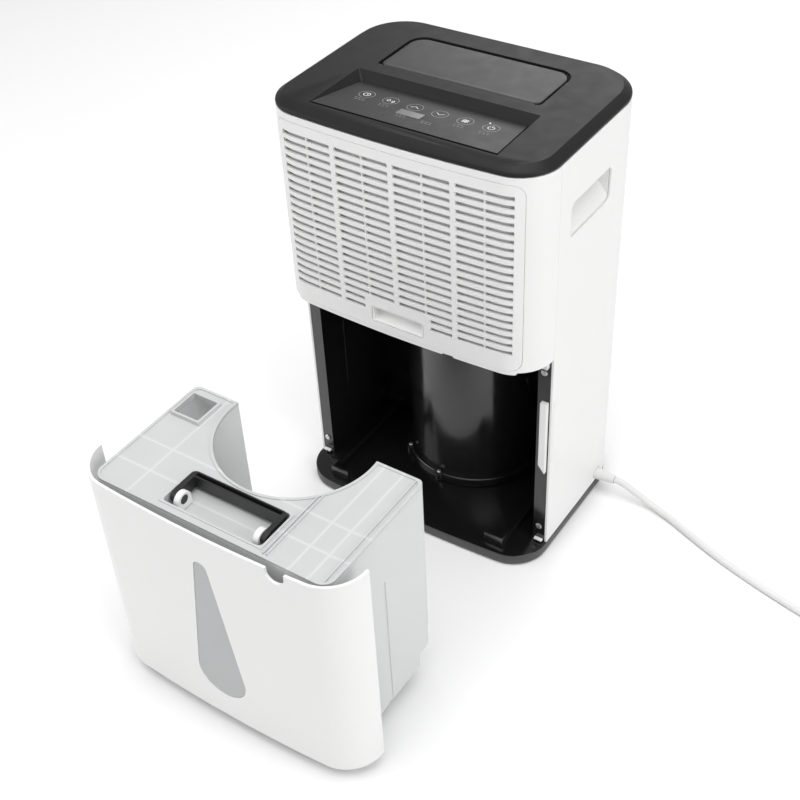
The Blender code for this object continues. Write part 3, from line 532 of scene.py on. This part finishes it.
def buildLead(s):
    plugLow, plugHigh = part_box("plug")
    coil = coilPoints(s)
    last = Vector(coil[-1])
    tip = Vector((last.x + 0.0003, plugHigh.y - middle.y - 0.0003, (plugLow.z + plugHigh.z) / 2))
    run = tip - last
    ease = [last + Vector((0, run.y * t, run.z * t * t * (3 - 2 * t))) for t in (0.25, 0.5, 0.75)]
    route = smoothRoute(s["route"] + coil + ease + [tip])
    curve = bpy.data.curves.new("mainsLead", "CURVE")
    curve.dimensions = "3D"
    curve.bevel_depth = s["radius"]
    curve.bevel_resolution = 4
    curve.use_fill_caps = True
    spline = curve.splines.new("POLY")
    spline.points.add(len(route) - 1)
    for spot, place in zip(spline.points, route):
        spot.co = (*(place + middle), 1)
    curve.materials.append(finishes["lead_white"])
    lead = bpy.data.objects.new("mainsLead", curve)
    bpy.context.collection.objects.link(lead)
    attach(lead, "case")
    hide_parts("power_cord", "cord_coil")


bpy.context.scene.view_settings.view_transform = "Standard"
buildCamera(cameraSettings)
buildLights()
floorMesh = bmesh.new()
bmesh.ops.create_grid(floorMesh, x_segments=1, y_segments=1, size=6)
floor = objectOf(floorMesh, "studioFloor")
floor.data.materials.append(stageFloor("studioFloor"))
buildLead(leadSettings)
print("camera, light, floor and lead made")


baseSettings = {"toe": 0.0006, "skirt": 0.0035, "edge": 0.0012}


def buildBase(s):
    top = baseHigh.z
    rings = [(casePlan(0.0022), s["toe"]), (casePlan(0.0006), 0.0018), (casePlan(), s["skirt"]),
             (casePlan(), top - s["edge"]), (casePlan(0.0003), top - 0.0004), (casePlan(s["edge"]), top)]
    fit(objectOf(stack(rings), "baseTray"), "base_grey", "case", ["base_tray"])


linerSettings = {
    "inside": 0.127, "wall": 0.0025, "rear": 0.046, "housing": 0.034, "bulge": 0.072, "ridge": 0.0052,
    "ridgeTop": 0.0248, "posts": (226, 268), "bosses": (-0.098, 0.098), "bossLow": 0.030, "bossHigh": 0.064,
    "postRing": 0.0762,
    "screws": [(-0.1335, 0.034), (0.1335, 0.034), (-0.1335, 0.236), (0.1335, 0.236)],
}


# bay's rear wall from left to right, bulging forward round the compressor
def wallLine(inside, rear, housing, radius, steps=60):
    reach = math.sqrt(radius ** 2 - (rear - housing) ** 2)
    start = math.degrees(math.atan2(rear - housing, reach))
    return [(-inside, rear)] + arc(0, housing, radius, 180 - start, 360 + start, steps) + [(inside, rear)]


def buildLiner(s):
    low = shellLow.z
    roof = lipLow.z + 0.0003
    inside, wall, rear = s["inside"], s["wall"], s["rear"]
    flange = width / 2 - 0.0027
    front = [(-flange, seamY), (-inside, seamY)]
    back = [(-flange, seamY + wall), (-inside - wall, seamY + wall)]
    line = wallLine(inside, rear, s["housing"], s["bulge"])
    behind = wallLine(inside + wall, rear + wall, s["housing"], s["bulge"] - wall)
    outline = front + line + [(-x, y) for x, y in front[::-1]] + [(-x, y) for x, y in back] + behind[::-1] + back[::-1]
    liner = objectOf(raised(outline, low, 0.2540), "bayLiner")
    ceiling = [(-flange, rear + wall)] + frontEdge(0.0029) + [(flange, rear + wall)]
    ridge = wallLine(inside - 0.0005, rear - s["ridge"], s["housing"], s["bulge"] + s["ridge"])
    ridge += wallLine(inside - 0.0005, rear + 0.001, s["housing"], s["bulge"] - 0.001)[::-1]
    bosses = [((x - 0.0085, rear - 0.0035, s["bossLow"]), (x + 0.0085, rear + 0.001, s["bossHigh"])) for x in s["bosses"]]
    steps = [((side * (inside + 0.001) - 0.0012, -0.030, low), (side * (inside + 0.001) + 0.0012, -0.0265, 0.2520))
             for side in (-1, 1)]
    spots = [(s["postRing"] * math.cos(math.radians(turn)), s["housing"] + s["postRing"] * math.sin(math.radians(turn)))
             for turn in s["posts"]]
    carve(liner, [raised(ceiling, roof, roof + 0.0029), blocks(steps)], "UNION")
    shadedHoles = [rod((x, seamY - 0.001, z), "Y", 0.0021, 0.005, 24) for x, z in s["screws"]]
    shadedHoles += [rod((0, s["housing"], 0.24), "Z", 0.062, 0.03, 64), rod((-0.103, 0.015, 0.24), "Z", 0.006, 0.03),
              rod((0.106, 0.03, 0.104), "Y", 0.0029, 0.03)]
    carve(liner, shadedHoles)
    fit(soften(liner, 0.0011, 3), "bay_black", "case", ["bay_liner"])
    rim = objectOf(raised(ridge, low + 0.0002, s["ridgeTop"]), "bayRidge")
    fit(soften(rim, 0.0015, 4), "bay_black", "case")
    fit(objectOf(blocks(bosses, 0.0012), "bayBosses"), "bay_black", "case")
    for k, (x, y) in enumerate(spots):
        tall = s["ridgeTop"] + 0.0006 - low
        column = [(0, 0.0002), (0.0042, 0.0002), (0.0042, tall - 0.0010), (0.0039, tall - 0.0003), (0.0032, tall), (0, tall)]
        fit(objectOf(turned(column, (x, y, low)), f"bayPost{k + 1}"), "bay_black", "case")
        head = [(0, 0), (0.0024, 0), (0.0024, 0.0006), (0.0016, 0.0013), (0, 0.0014)]
        screw = objectOf(turned(head, (x, y, s["ridgeTop"] + 0.0006)), f"postScrew{k + 1}")
        fit(soften(screw, 0.0001), "steel", "case")


railSettings = {"stop": (0.086, 0.108), "front": -0.097, "back": 0.030, "thick": 0.0045, "runner": 0.0035}


def buildRails(s):
    near, far = s["stop"]
    for name, side in (("rail_left", -1), ("rail_right", 1)):
        outline = [(near, s["front"]), (far, s["front"]), (far, s["back"]), (far - s["runner"], s["back"]),
                   (far - s["runner"], s["front"] + s["thick"]), (near, s["front"] + s["thick"])]
        low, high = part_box(name)
        points = [(side * x, y) for x, y in outline][::side]
        rail = objectOf(raised(points, low.z, high.z), name.replace("_", "") + "Detail")
        runner = ((side * 0.1063 - 0.004, s["front"] + 0.014, low.z + 0.007), (side * 0.1063 + 0.004, 0.04, high.z + 1))
        carve(rail, [blocks([runner])])
        fit(soften(rail, 0.0011, 3), "bay_black", "case", [name])


shellSettings = {"wall": 0.0024, "gap": 0.0003, "openHalf": 0.127, "openLow": 0.2565, "openHigh": 0.449,
                 "corner": 0.0105, "gripFront": -0.045, "gripRear": 0.031, "gripLow": 0.372, "gripHigh": 0.408,
                 "vents": 10, "ventPitch": 0.012}


def roundedRectangle(halfWidth, low, high, corner, centre=0.0, steps=6):
    left, right = centre - halfWidth + corner, centre + halfWidth - corner
    points = arc(left, low + corner, corner, 180, 270, steps) + arc(right, low + corner, corner, 270, 360, steps)
    return points + arc(right, high - corner, corner, 0, 90, steps) + arc(left, high - corner, corner, 90, 180, steps)


def buildFrontShell(s):
    shell = objectOf(raised(frontWall(0, s["wall"], seamY), lipLow.z, lipHigh.z), "frontShell")
    opening = roundedRectangle(s["openHalf"], s["openLow"], s["openHigh"], s["corner"])
    notches = [((0.048, -0.12, 0.25), (0.060, -0.09, lipLow.z + 0.0016)),
               ((0.122, -0.12, 0.25), (0.150, -0.060, lipLow.z + 0.0024)),
               ((-0.150, -0.12, 0.25), (-0.122, -0.060, lipLow.z + 0.0024))]
    carve(shell, [upright(opening, -0.13, -0.0725), blocks(notches)])
    fit(soften(shell, 0.0005), "white_case", "case", ["front_shell"])


def buildRearShell(s):
    shell = objectOf(raised(rearWall(0, s["wall"], seamY + s["gap"]), shellLow.z, shellHigh.z), "rearShell")
    half = (s["gripRear"] - s["gripFront"]) / 2
    grip = roundedRectangle(half, s["gripLow"], s["gripHigh"], 0.007, (s["gripRear"] + s["gripFront"]) / 2)
    slots = bmesh.new()
    for k in range(s["vents"]):
        block(slots, (-0.062, 0.09, 0.300 + k * s["ventPitch"]), (0.062, 0.12, 0.305 + k * s["ventPitch"]), 0.0018)
    grooves = [((side * width / 2 - 0.0007, -0.0636, 0.124), (side * width / 2 + 0.0007, -0.0612, 0.200))
               for side in (-1, 1)]
    tools = [upright(grip, side * 0.141 - 0.006, side * 0.141 + 0.006, "X") for side in (-1, 1)]
    tools += [slots, blocks(grooves), rod((0.13, 0.046, 0.0225), "X", 0.0069, 0.03),
              rod((0.050, 0.09, 0.060), "Y", 0.0105, 0.03)]
    carve(shell, tools)
    fit(soften(shell, 0.0005), "white_case", "case", ["rear_shell"])


tabSettings = {"near": 0.1322, "far": 0.1394, "front": -0.0712, "rear": -0.0663, "low": 0.113, "high": 0.202,
               "slope": 0.008}


# white tab on the shell's right front edge, which steers the tank into the bay
def buildGuideTab(s):
    outline = [(s["far"], s["low"]), (s["near"] + 0.0012, s["low"] + s["slope"]), (s["near"], s["low"] + s["slope"] + 0.002),
               (s["near"], s["high"]), (s["far"], s["high"])]
    tab = objectOf(upright(outline, s["front"], s["rear"]), "guideTab")
    fit(soften(tab, 0.0005, 3), "white_case", "case")
    lug = objectOf(blocks([((0.1300, s["front"], 0.2438), (0.1386, s["rear"], 0.2514))]), "cornerTab")
    carve(lug, [rod((0.1343, s["front"] - 0.001, 0.2474), "Y", 0.0018, 0.01)])
    fit(soften(lug, 0.0004), "white_case", "case")
    feet = [((side * 0.1343 - 0.0045, -0.0700, 0.0160), (side * 0.1343 + 0.0045, s["rear"], 0.0182)) for side in (-1, 1)]
    fit(objectOf(blocks(feet, 0.0005), "footTabs"), "white_case", "case")


grilleSettings = {
    "wall": 0.0028, "gap": 0.0003, "rows": 20, "pitch": 0.0084, "slot": 0.0045, "top": 0.4385, "short": 0.036,
    "columns": [(-0.119, -0.0645), (-0.0595, -0.0025), (0.0025, 0.0595), (0.0645, 0.119)],
    "ribs": (-0.0917, -0.031, 0.031, 0.0917), "ribWidth": 0.0017, "pull": (0.029, 0.2625, 0.2805),
    "screenInset": 0.0042,
}


def slotBlocks(s):
    made = bmesh.new()
    for row in range(s["rows"]):
        top = s["top"] - row * s["pitch"]
        low = row >= s["rows"] - 2
        for left, right in s["columns"]:
            if low and left == -0.0595:
                right = -s["short"]
            if low and right == 0.0595:
                left = s["short"]
            block(made, (left, -0.13, top - s["slot"]), (right, -0.06, top))
    return made


def frontAt(x):
    return -depth / 2 - bow * (1 - (2 * x / width) ** 2)


def buildGrille(s, shell):
    half, low, high = shell["openHalf"] - s["gap"], shell["openLow"] + s["gap"], shell["openHigh"] - s["gap"]
    grille = objectOf(raised(frontWall(0, s["wall"], seamY), low, high), "intakeGrille")
    border = roundedRectangle(half, low, high, shell["corner"] - s["gap"])
    carve(grille, [upright(border, -0.13, -0.0728)], "INTERSECT")
    opening = roundedRectangle(s["pull"][0], s["pull"][1], s["pull"][2], 0.0028)
    carve(grille, [slotBlocks(s), upright(opening, -0.13, -0.06)])
    fit(soften(grille, 0.0004), "white_case", "grille", ["intake_grille"])
    lowest = s["top"] - s["rows"] * s["pitch"]
    ribs = [((x - s["ribWidth"] / 2, frontAt(x) + 0.0012, lowest), (x + s["ribWidth"] / 2, frontAt(x) + 0.0040, 0.4395))
            for x in s["ribs"]]
    ribs[1] = (Vector(ribs[1][0]) + Vector((0, 0, 0.017)), ribs[1][1])
    ribs[2] = (Vector(ribs[2][0]) + Vector((0, 0, 0.017)), ribs[2][1])
    fit(soften(objectOf(blocks(ribs), "grilleRibs"), 0.0004), "white_case", "grille")
    screen = raised(frontWall(s["screenInset"], 0.0006, seamY - 0.0008), 0.2695, 0.4425)
    screenPiece = objectOf(screen, "filterScreen")
    carve(screenPiece, [blocks([((-0.0305, -0.12, 0.25), (0.0305, -0.06, 0.2835))])])
    fit(screenPiece, "filter_mesh", "grille", ["filter_mesh"])
    cup = objectOf(blocks([((-0.0285, -0.1085, 0.263), (0.0285, -0.0962, 0.2800))]), "grillePull")
    hollow = upright([(-0.12, 0.2788), (-0.12, 0.2645), (-0.1065, 0.2645), (-0.0977, 0.2760), (-0.0977, 0.2788)],
                     -0.0272, 0.0272, "X")
    carve(cup, [hollow])
    fit(soften(cup, 0.0004), "white_case", "grille", ["grille_pull"])


coverSettings = {
    "rim": [(0.0014, 0), (0.0014, 0.0008), (0.0002, 0.0009), (0, 0.0018), (0.0004, 0.0032), (0.0014, 0.0045), (0.0080, 0.0091)],
    "half": 0.096, "front": -0.091, "rear": -0.0135, "lip": 0.0012, "deep": 0.0095, "corner": 0.008,
    "slant": (0.917, -0.0075),
    "outletHalf": 0.0852, "outletFront": 0.0002, "outletRear": 0.0698, "outletCorners": (0.004, 0.017),
}


def roundUprightEdges(bm, radius, segments=6):
    edges = [e for e in bm.edges if (e.verts[0].co.xy - e.verts[1].co.xy).length < 1e-6]
    bmesh.ops.bevel(bm, geom=edges, offset=radius, segments=segments, profile=0.5, affect="EDGES", material=-1)
    return bm


# draws the deep end of a recess inwards and forward, so that its walls slope
def slanted(bm, below, slant):
    for vert in bm.verts:
        if vert.co.z < below:
            vert.co.x *= slant[0]
            vert.co.y += slant[1]
    return bm


def planRectangle(half, front, rear, frontCorner, rearCorner, inset=0.0):
    half, front, rear = half - inset, front + inset, rear - inset
    near, far = max(frontCorner - inset, 0.0004), max(rearCorner - inset, 0.0004)
    points = arc(near - half, front + near, near, 180, 270, 6) + arc(half - near, front + near, near, 270, 360, 6)
    return points + arc(half - far, rear - far, far, 0, 90, 10) + arc(far - half, rear - far, far, 90, 180, 10)


def buildCover(s):
    base = shellHigh.z + 0.0003
    cover = objectOf(stack([(casePlan(inset), base + rise) for inset, rise in s["rim"]]), "topCover")
    hollow = stack([(casePlan(0.0027), base - 0.01), (casePlan(0.0027), base + 0.001),
                    (casePlan(0.0050), topZ - 0.0052), (casePlan(0.0100), topZ - 0.0026)])
    carve(cover, [hollow])
    under = [(s["front"] - 0.002, topZ - 0.001), (s["front"] - 0.002, topZ - 0.0044),
             (s["rear"] + 0.002, topZ - s["deep"] - 0.0035), (s["rear"] + 0.002, topZ - 0.001)]
    lugs = [((side * 0.0895 - 0.004, -0.004, topZ - 0.008), (side * 0.0895 + 0.004, 0.010, topZ - 0.001))
            for side in (-1, 1)]
    carve(cover, [upright(under, -s["half"] - 0.002, s["half"] + 0.002, "X"), blocks(lugs)], "UNION")
    recess = [(s["front"], topZ + 0.002), (s["front"], topZ - s["lip"]), (s["rear"], topZ - s["deep"]),
              (s["rear"], topZ + 0.002)]
    outlet = planRectangle(s["outletHalf"], s["outletFront"], s["outletRear"], *s["outletCorners"])
    scoop = slanted(upright(recess, -s["half"], s["half"], "X"), topZ - 0.005, s["slant"])
    bmesh.ops.bevel(scoop, geom=scoop.edges, offset=0.0012, segments=2, profile=0.5, affect="EDGES", material=-1)
    carve(cover, [scoop,
                  raised(outlet, topZ - 0.02, topZ + 0.01),
                  rod((-0.1, 0.0034, 0.4626), "X", 0.0012, 0.2)])
    fit(soften(cover, 0.0005, 3), "dark_cover", "case", ["top_cover"])


panelSettings = {
    "margin": 0.0015, "front": 0.0025, "rear": 0.0006, "lift": 0.0003, "thick": 0.0013,
    "window": (-0.0205, 0.0045, -0.0675, -0.0565), "keys": 6, "keyPitch": 0.0256, "keyY": -0.0465, "ring": 0.0074,
    "line": 0.00036, "fine": 0.0002, "scale": 1.3,
}


# outlines of the six key symbols, drawn about their own middles
def symbolLines():
    petal = [arc(0.0013, 0, 0.0011, 0, 360, 12)]
    fanLines = [[(x * math.cos(t) - y * math.sin(t), x * math.sin(t) + y * math.cos(t)) for x, y in petal[0]]
                for t in (math.radians(45 + 90 * k) for k in range(4))]
    drop = arc(-0.0016, -0.0004, 0.0011, 150, 390, 10)
    return [
        [arc(0, 0, 0.0025, 0, 360, 20), [(0, 0.0017), (0, 0), (0.0012, -0.0004)]],
        [drop + [(-0.0016, 0.0022), drop[0]], arc(0.0008, -0.0008, 0.0011, 60, -60, 5), arc(0.0008, -0.0008, 0.0022, 60, -60, 7)],
        [[(-0.0030, -0.0011), (0, 0.0014), (0.0030, -0.0011)]],
        [[(-0.0030, 0.0011), (0, -0.0014), (0.0030, 0.0011)]],
        fanLines,
        [arc(0, 0, 0.0023, 120, 420, 16), [(0, 0.0008), (0, 0.0032)]],
    ]


# ink lines lying on the panel: round wires flattened on to its slope
def printed(name, lines, radius, lower):
    curve = bpy.data.curves.new(name, "CURVE")
    curve.dimensions = "3D"
    curve.bevel_depth = radius
    curve.bevel_resolution = 1
    curve.use_fill_caps = True
    for points in lines:
        spline = curve.splines.new("POLY")
        spline.points.add(len(points) - 1)
        for spot, (x, y) in zip(spline.points, points):
            spot.co = (x, y, 0, 1)
    wires = bpy.data.objects.new(name, curve)
    bpy.context.collection.objects.link(wires)
    bpy.context.view_layer.update()
    mesh = bpy.data.meshes.new_from_object(wires.evaluated_get(bpy.context.evaluated_depsgraph_get()))
    bpy.data.objects.remove(wires)
    made = bmesh.new()
    made.from_mesh(mesh)
    for vert in made.verts:
        vert.co.z = vert.co.z * 0.2 + lower(vert.co.y)
    bmesh.ops.recalc_face_normals(made, faces=made.faces)
    return objectOf(made, name)


def buildPanel(s, cover):
    slope = (cover["deep"] - cover["lip"]) / (cover["rear"] + cover["slant"][1] - cover["front"])
    half = cover["half"] - s["margin"]
    front, rear = cover["front"] + s["front"], cover["rear"] - s["rear"]

    def floorAt(y):
        return topZ - cover["lip"] - slope * (y - cover["front"]) + s["lift"]

    deepest = floorAt(rear + cover["slant"][1])
    outline = [(front, floorAt(front)), (rear, deepest), (rear, deepest + s["thick"]),
               (front, floorAt(front) + s["thick"])]
    plate = objectOf(slanted(upright(outline, -half, half, "X"), topZ - 0.005, cover["slant"]), "controlPanel")
    left, right, near, far = s["window"]
    carve(plate, [blocks([((left, near, floorAt(far) - 0.002), (right, far, floorAt(near) + 0.004))])])
    fit(soften(plate, 0.0003), "panel_grey", "case", ["control_panel"])

    def surface(y):
        return floorAt(y) + s["thick"] + 0.00001

    symbols, rings, labels = [], [], []
    for k, lines in enumerate(symbolLines()):
        x = (k - (s["keys"] - 1) / 2) * s["keyPitch"]
        symbols += [[(a * s["scale"] + x, b * s["scale"] + s["keyY"]) for a, b in line] for line in lines]
        rings.append(arc(x, s["keyY"], s["ring"], 0, 360, 40))
        for row in range(2):
            start = x - 0.0052 + 0.0012 * row
            for dash in range(3):
                y = s["keyY"] - 0.0108 - 0.0032 * row - (0.011 if k in (2, 3) else 0)
                labels.append([(start + dash * 0.0038, y), (start + dash * 0.0038 + 0.0026 - 0.0004 * (k % 3), y)])
    labels += [[(x, s["keyY"] + 0.0105), (x + 0.0006, s["keyY"] + 0.0105)] for x in (0.048, 0.054, 0.060)]
    fit(printed("keySymbols", symbols, s["line"], surface), "symbolInk", "case")
    fit(printed("keyRings", rings, s["fine"], surface), "ringInk", "case")
    fit(printed("keyLabels", labels, s["fine"] * 1.2, surface), "ringInk", "case")
    lamp = turned([(0, 0), (0.0010, 0), (0.0008, 0.0003), (0, 0.0004)], (0.058, s["keyY"] + 0.0085,
                                                                        surface(s["keyY"] + 0.0085) - 0.0001))
    fit(objectOf(lamp, "statusLamp"), "lampLens", "case")


flapSettings = {"half": 0.0823, "front": 0.0027, "rear": 0.0659, "frontCorner": 0.0055, "rearCorner": 0.0145,
                "thick": 0.0024, "dome": 0.0010, "axisY": 0.0034, "axisZ": 0.4626}


# gently domed plate with a hinge bead under its front edge
def buildFlap(s):
    def ring(inset, z):
        return planRectangle(s["half"], s["front"], s["rear"], s["frontCorner"], s["rearCorner"], inset), z

    crown = [(0.0, 0.0008), (0.0003, 0.00045), (0.001, 0.0003), (0.004, 0.00018), (0.010, 0.00008), (0.020, 0.0)]
    rings = [ring(0.0006, topZ - s["thick"]), ring(0.0, topZ - s["thick"] + 0.0005)]
    rings += [ring(inset, topZ - drop) for inset, drop in crown]
    flap = objectOf(stack(rings), "outletFlap")
    bead = rod((-s["half"] + 0.004, s["axisY"], s["axisZ"]), "X", 0.0023, 2 * s["half"] - 0.008, 32)
    carve(flap, [bead], "UNION")
    carve(flap, [rod((-s["half"] - 0.001, s["axisY"], s["axisZ"]), "X", 0.0013, 0.006),
                 rod((s["half"] - 0.005, s["axisY"], s["axisZ"]), "X", 0.0013, 0.006)])
    fit(flap, "flap_grey", "flap", ["outlet_flap"])


tankSettings = {
    "half": 0.124, "front": -0.0965, "rear": 0.042, "notch": 0.076, "housing": 0.034, "corner": 0.012,
    "wall": 0.0022, "grooveY": (-0.0290, -0.0225), "grooveTop": 0.186,
    "steps": [(0.037, 0.071), (0.022, 0.044)], "panelWall": 0.0026,
    "ridges": [(0.0580, -0.0185), (0.0615, -0.0140), (0.1175, 0.0385)],
    "well": (0.052, -0.088, -0.0465, 0.233), "chimney": (-0.118, -0.086, -0.001, 0.031, 0.2512),
}


def bucketPlan(s, inset=0.0):
    half, front, rear = s["half"] - inset, s["front"] + inset, s["rear"] - inset
    radius, corner = s["notch"] + inset, s["corner"] - inset
    reach = math.sqrt(radius ** 2 - (rear - s["housing"]) ** 2)
    start = math.degrees(math.atan2(rear - s["housing"], reach))
    points = arc(corner - half, front + corner, corner, 180, 270, 8)
    points += arc(half - corner, front + corner, corner, 270, 360, 8)
    points += arc(half - 0.006, rear - 0.006, 0.006, 0, 90, 6)
    points += arc(0, s["housing"], radius, 360 + start, 180 - start, 56)
    return points + arc(0.006 - half, rear - 0.006, 0.006, 90, 180, 6)


def buildBucket(s):
    low, high = bucketLow.z, bucketHigh.z
    bucket = objectOf(stack([(bucketPlan(s, 0.0012), low), (bucketPlan(s, 0.0003), low + 0.0006),
                             (bucketPlan(s), low + 0.0016), (bucketPlan(s), high)]), "tankBucket", drawn)
    wall = s["wall"]
    inside = objectOf(raised(bucketPlan(s, wall), low + wall, high + 0.01), "inside", drawn)
    carve(inside, [blocks([((-0.2, y - wall, 0), (0.2, 0.1, z + wall))]) for y, z in s["steps"]], shift=drawn)
    hollow = bmesh.new()
    hollow.from_mesh(inside.data)
    bmesh.ops.translate(hollow, verts=hollow.verts, vec=-(middle + drawn))
    bpy.data.objects.remove(inside)
    near, far = s["grooveY"]
    cuts = [((side * s["half"] - 0.0013, near, low - 0.01), (side * s["half"] + 0.0013, far, s["grooveTop"]))
            for side in (-1, 1)]
    corners = [blocks([((-0.2, y, 0), (0.2, 0.1, z))]) for y, z in s["steps"]]
    carve(bucket, [hollow, blocks(cuts)] + corners, shift=drawn)
    fit(soften(bucket, 0.0006), "frosted_tank", "tank", ["tank_body"])


def buildLid(s):
    low, high = bucketHigh.z + 0.0003, bucketHigh.z + 0.0030
    lid = objectOf(raised(bucketPlan(s), low, high), "tankLid", drawn)
    carve(lid, [raised(bucketPlan(s, 0.0026), high - 0.0011, high + 0.01)], shift=drawn)
    half, near, far, floorZ = s["well"]
    left, right, front, rear, top = s["chimney"]
    wellBox = ((-half - 0.002, near - 0.002, floorZ - 0.002), (half + 0.002, far + 0.0015, high - 0.0002))
    bars = [((x - 0.0007, -0.094, low - 0.004), (x + 0.0007, 0.000, low + 0.0004)) for x in (-0.085, 0.085, 0.104)]
    bars += [((side * 0.082 - 0.038, y - 0.0007, low - 0.004), (side * 0.082 + 0.038, y + 0.0007, low + 0.0004))
             for side in (-1, 1) for y in (-0.066, -0.036)]
    collar = ((left, front, low + 0.0007), (right, rear, top))
    ridges = [((x - 0.0006, -0.0925, low), (x + 0.0006, end, high + 0.0006)) for x, end in s["ridges"]]
    carve(lid, [blocks([corners]) for corners in [wellBox, collar] + bars + ridges], "UNION", drawn)
    pocket = block(bmesh.new(), (-half, near, floorZ), (half, far, 0.30))
    inlet = block(bmesh.new(), (left + 0.002, front + 0.002, 0.22), (right - 0.002, rear - 0.002, 0.30))
    carve(lid, [roundUprightEdges(pocket, 0.004), roundUprightEdges(inlet, 0.0012)], shift=drawn)
    fit(soften(lid, 0.0004), "frosted_lid", "tank", ["tank_lid"])


panelFaceSettings = {"windowLow": (0.072, 0.0265), "windowHigh": (0.212, 0.0072), "notchX": 0.080, "notchZ": 0.247,
                     "notch": 0.009}


# tapering window: a wide round foot and a narrow round top, joined by straight sides
def windowOutline(s, inset=0.0):
    lowZ, lowR = s["windowLow"]
    highZ, highR = s["windowHigh"]
    foot = arc(0, lowZ, lowR - inset, 172, 368, 28)
    head = arc(0, highZ, highR - inset, 8, 172, 12)
    return foot + head


def buildTankFront(s, tank):
    wall = frontWall(0, tank["panelWall"], seamY - 0.0003)
    face = objectOf(raised(wall, drawnLow.z, drawnHigh.z), "tankFront", drawn)
    notch = [(s["notchX"] - s["notch"], 0.27)] + arc(s["notchX"], s["notchZ"], s["notch"], 180, 360, 16)
    notch += [(s["notchX"] + s["notch"], 0.27)]
    carve(face, [upright(windowOutline(s), -0.13, -0.09), upright(notch, -0.13, -0.09)], shift=drawn)
    fit(soften(face, 0.0006, 3), "white_case", "tank", ["tank_front"])
    glass = objectOf(upright(windowOutline(s, 0.0003), -0.1084, -0.1064), "levelWindow", drawn)
    fit(soften(glass, 0.0003), "smoked_window", "tank", ["level_window"])


handleSettings = {"axisY": -0.075, "axisZ": 0.243, "half": 0.0500, "arm": 0.0045, "reach": 0.0275, "bar": 0.0065,
                  "low": 0.006, "high": 0.0068, "root": 0.0058, "boss": 0.0042, "bossEnd": 0.0392,
                  "lugX": 0.0418, "lugHalf": 0.0028, "lugRadius": 0.0086, "lugTop": 0.2502}


def buildHandle(s):
    y, z = s["axisY"], s["axisZ"]
    corner = 0.005
    outer = [(-s["half"], y - s["root"])] + arc(corner - s["half"], y + s["reach"] - corner, corner, 180, 90, 6)
    outer += arc(s["half"] - corner, y + s["reach"] - corner, corner, 90, 0, 6) + [(s["half"], y - s["root"])]
    arm = s["half"] - s["arm"]
    back = y + s["reach"] - s["bar"]
    inner = [(arm, y - s["root"]), (arm, back), (-arm, back), (-arm, y - s["root"])]
    bail = objectOf(raised(outer + inner, z - s["low"], z + s["high"]), "tankHandle", drawn)
    side = arc(y, z, s["root"], 90, 270, 10)
    side += [(y + 0.03, z - s["low"]), (y + 0.03, z + s["high"]), (y + 0.003, z + s["high"])]
    carve(bail, [upright(side, -0.06, 0.06, "X")], "INTERSECT", drawn)
    channel = ((-arm, back + 0.0014, z - 0.003), (arm, back + 0.0051, z + 0.02))
    carve(bail, [blocks([channel])], shift=drawn)
    bosses = [rod((start, y, z), "X", s["boss"], arm - s["bossEnd"] + 0.001) for start in (-arm - 0.001, s["bossEnd"])]
    carve(bail, bosses, "UNION", drawn)
    fit(soften(bail, 0.0006, 3), "handle_black", "handle", ["tank_handle"])
    for name, way in (("handle_lug_left", -1), ("handle_lug_right", 1)):
        x = way * s["lugX"]
        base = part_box(name)[0].z
        outline = [(y - s["lugRadius"], base)] + arc(y, s["lugTop"] - s["lugRadius"], s["lugRadius"], 180, 0, 20)
        outline.append((y + s["lugRadius"], base))
        lug = objectOf(upright(outline, x - s["lugHalf"], x + s["lugHalf"], "X"), name.replace("_", "") + "Detail", drawn)
        carve(lug, [rod((x - 0.005, y, z), "X", s["boss"] + 0.0003, 0.01)], shift=drawn)
        fit(soften(lug, 0.0006, 3), "white_case", "tank", [name])


buildBase(baseSettings)
buildLiner(linerSettings)
buildRails(railSettings)
print("base, bay liner and rails made")
buildFrontShell(shellSettings)
buildRearShell(shellSettings)
buildGuideTab(tabSettings)
buildGrille(grilleSettings, shellSettings)
print("case shells and grille made")
buildCover(coverSettings)
buildPanel(panelSettings, coverSettings)
buildFlap(flapSettings)
print("cover, controls and flap made")
buildBucket(tankSettings)
buildLid(tankSettings)
buildTankFront(panelFaceSettings, tankSettings)
buildHandle(handleSettings)
print("water tank made")
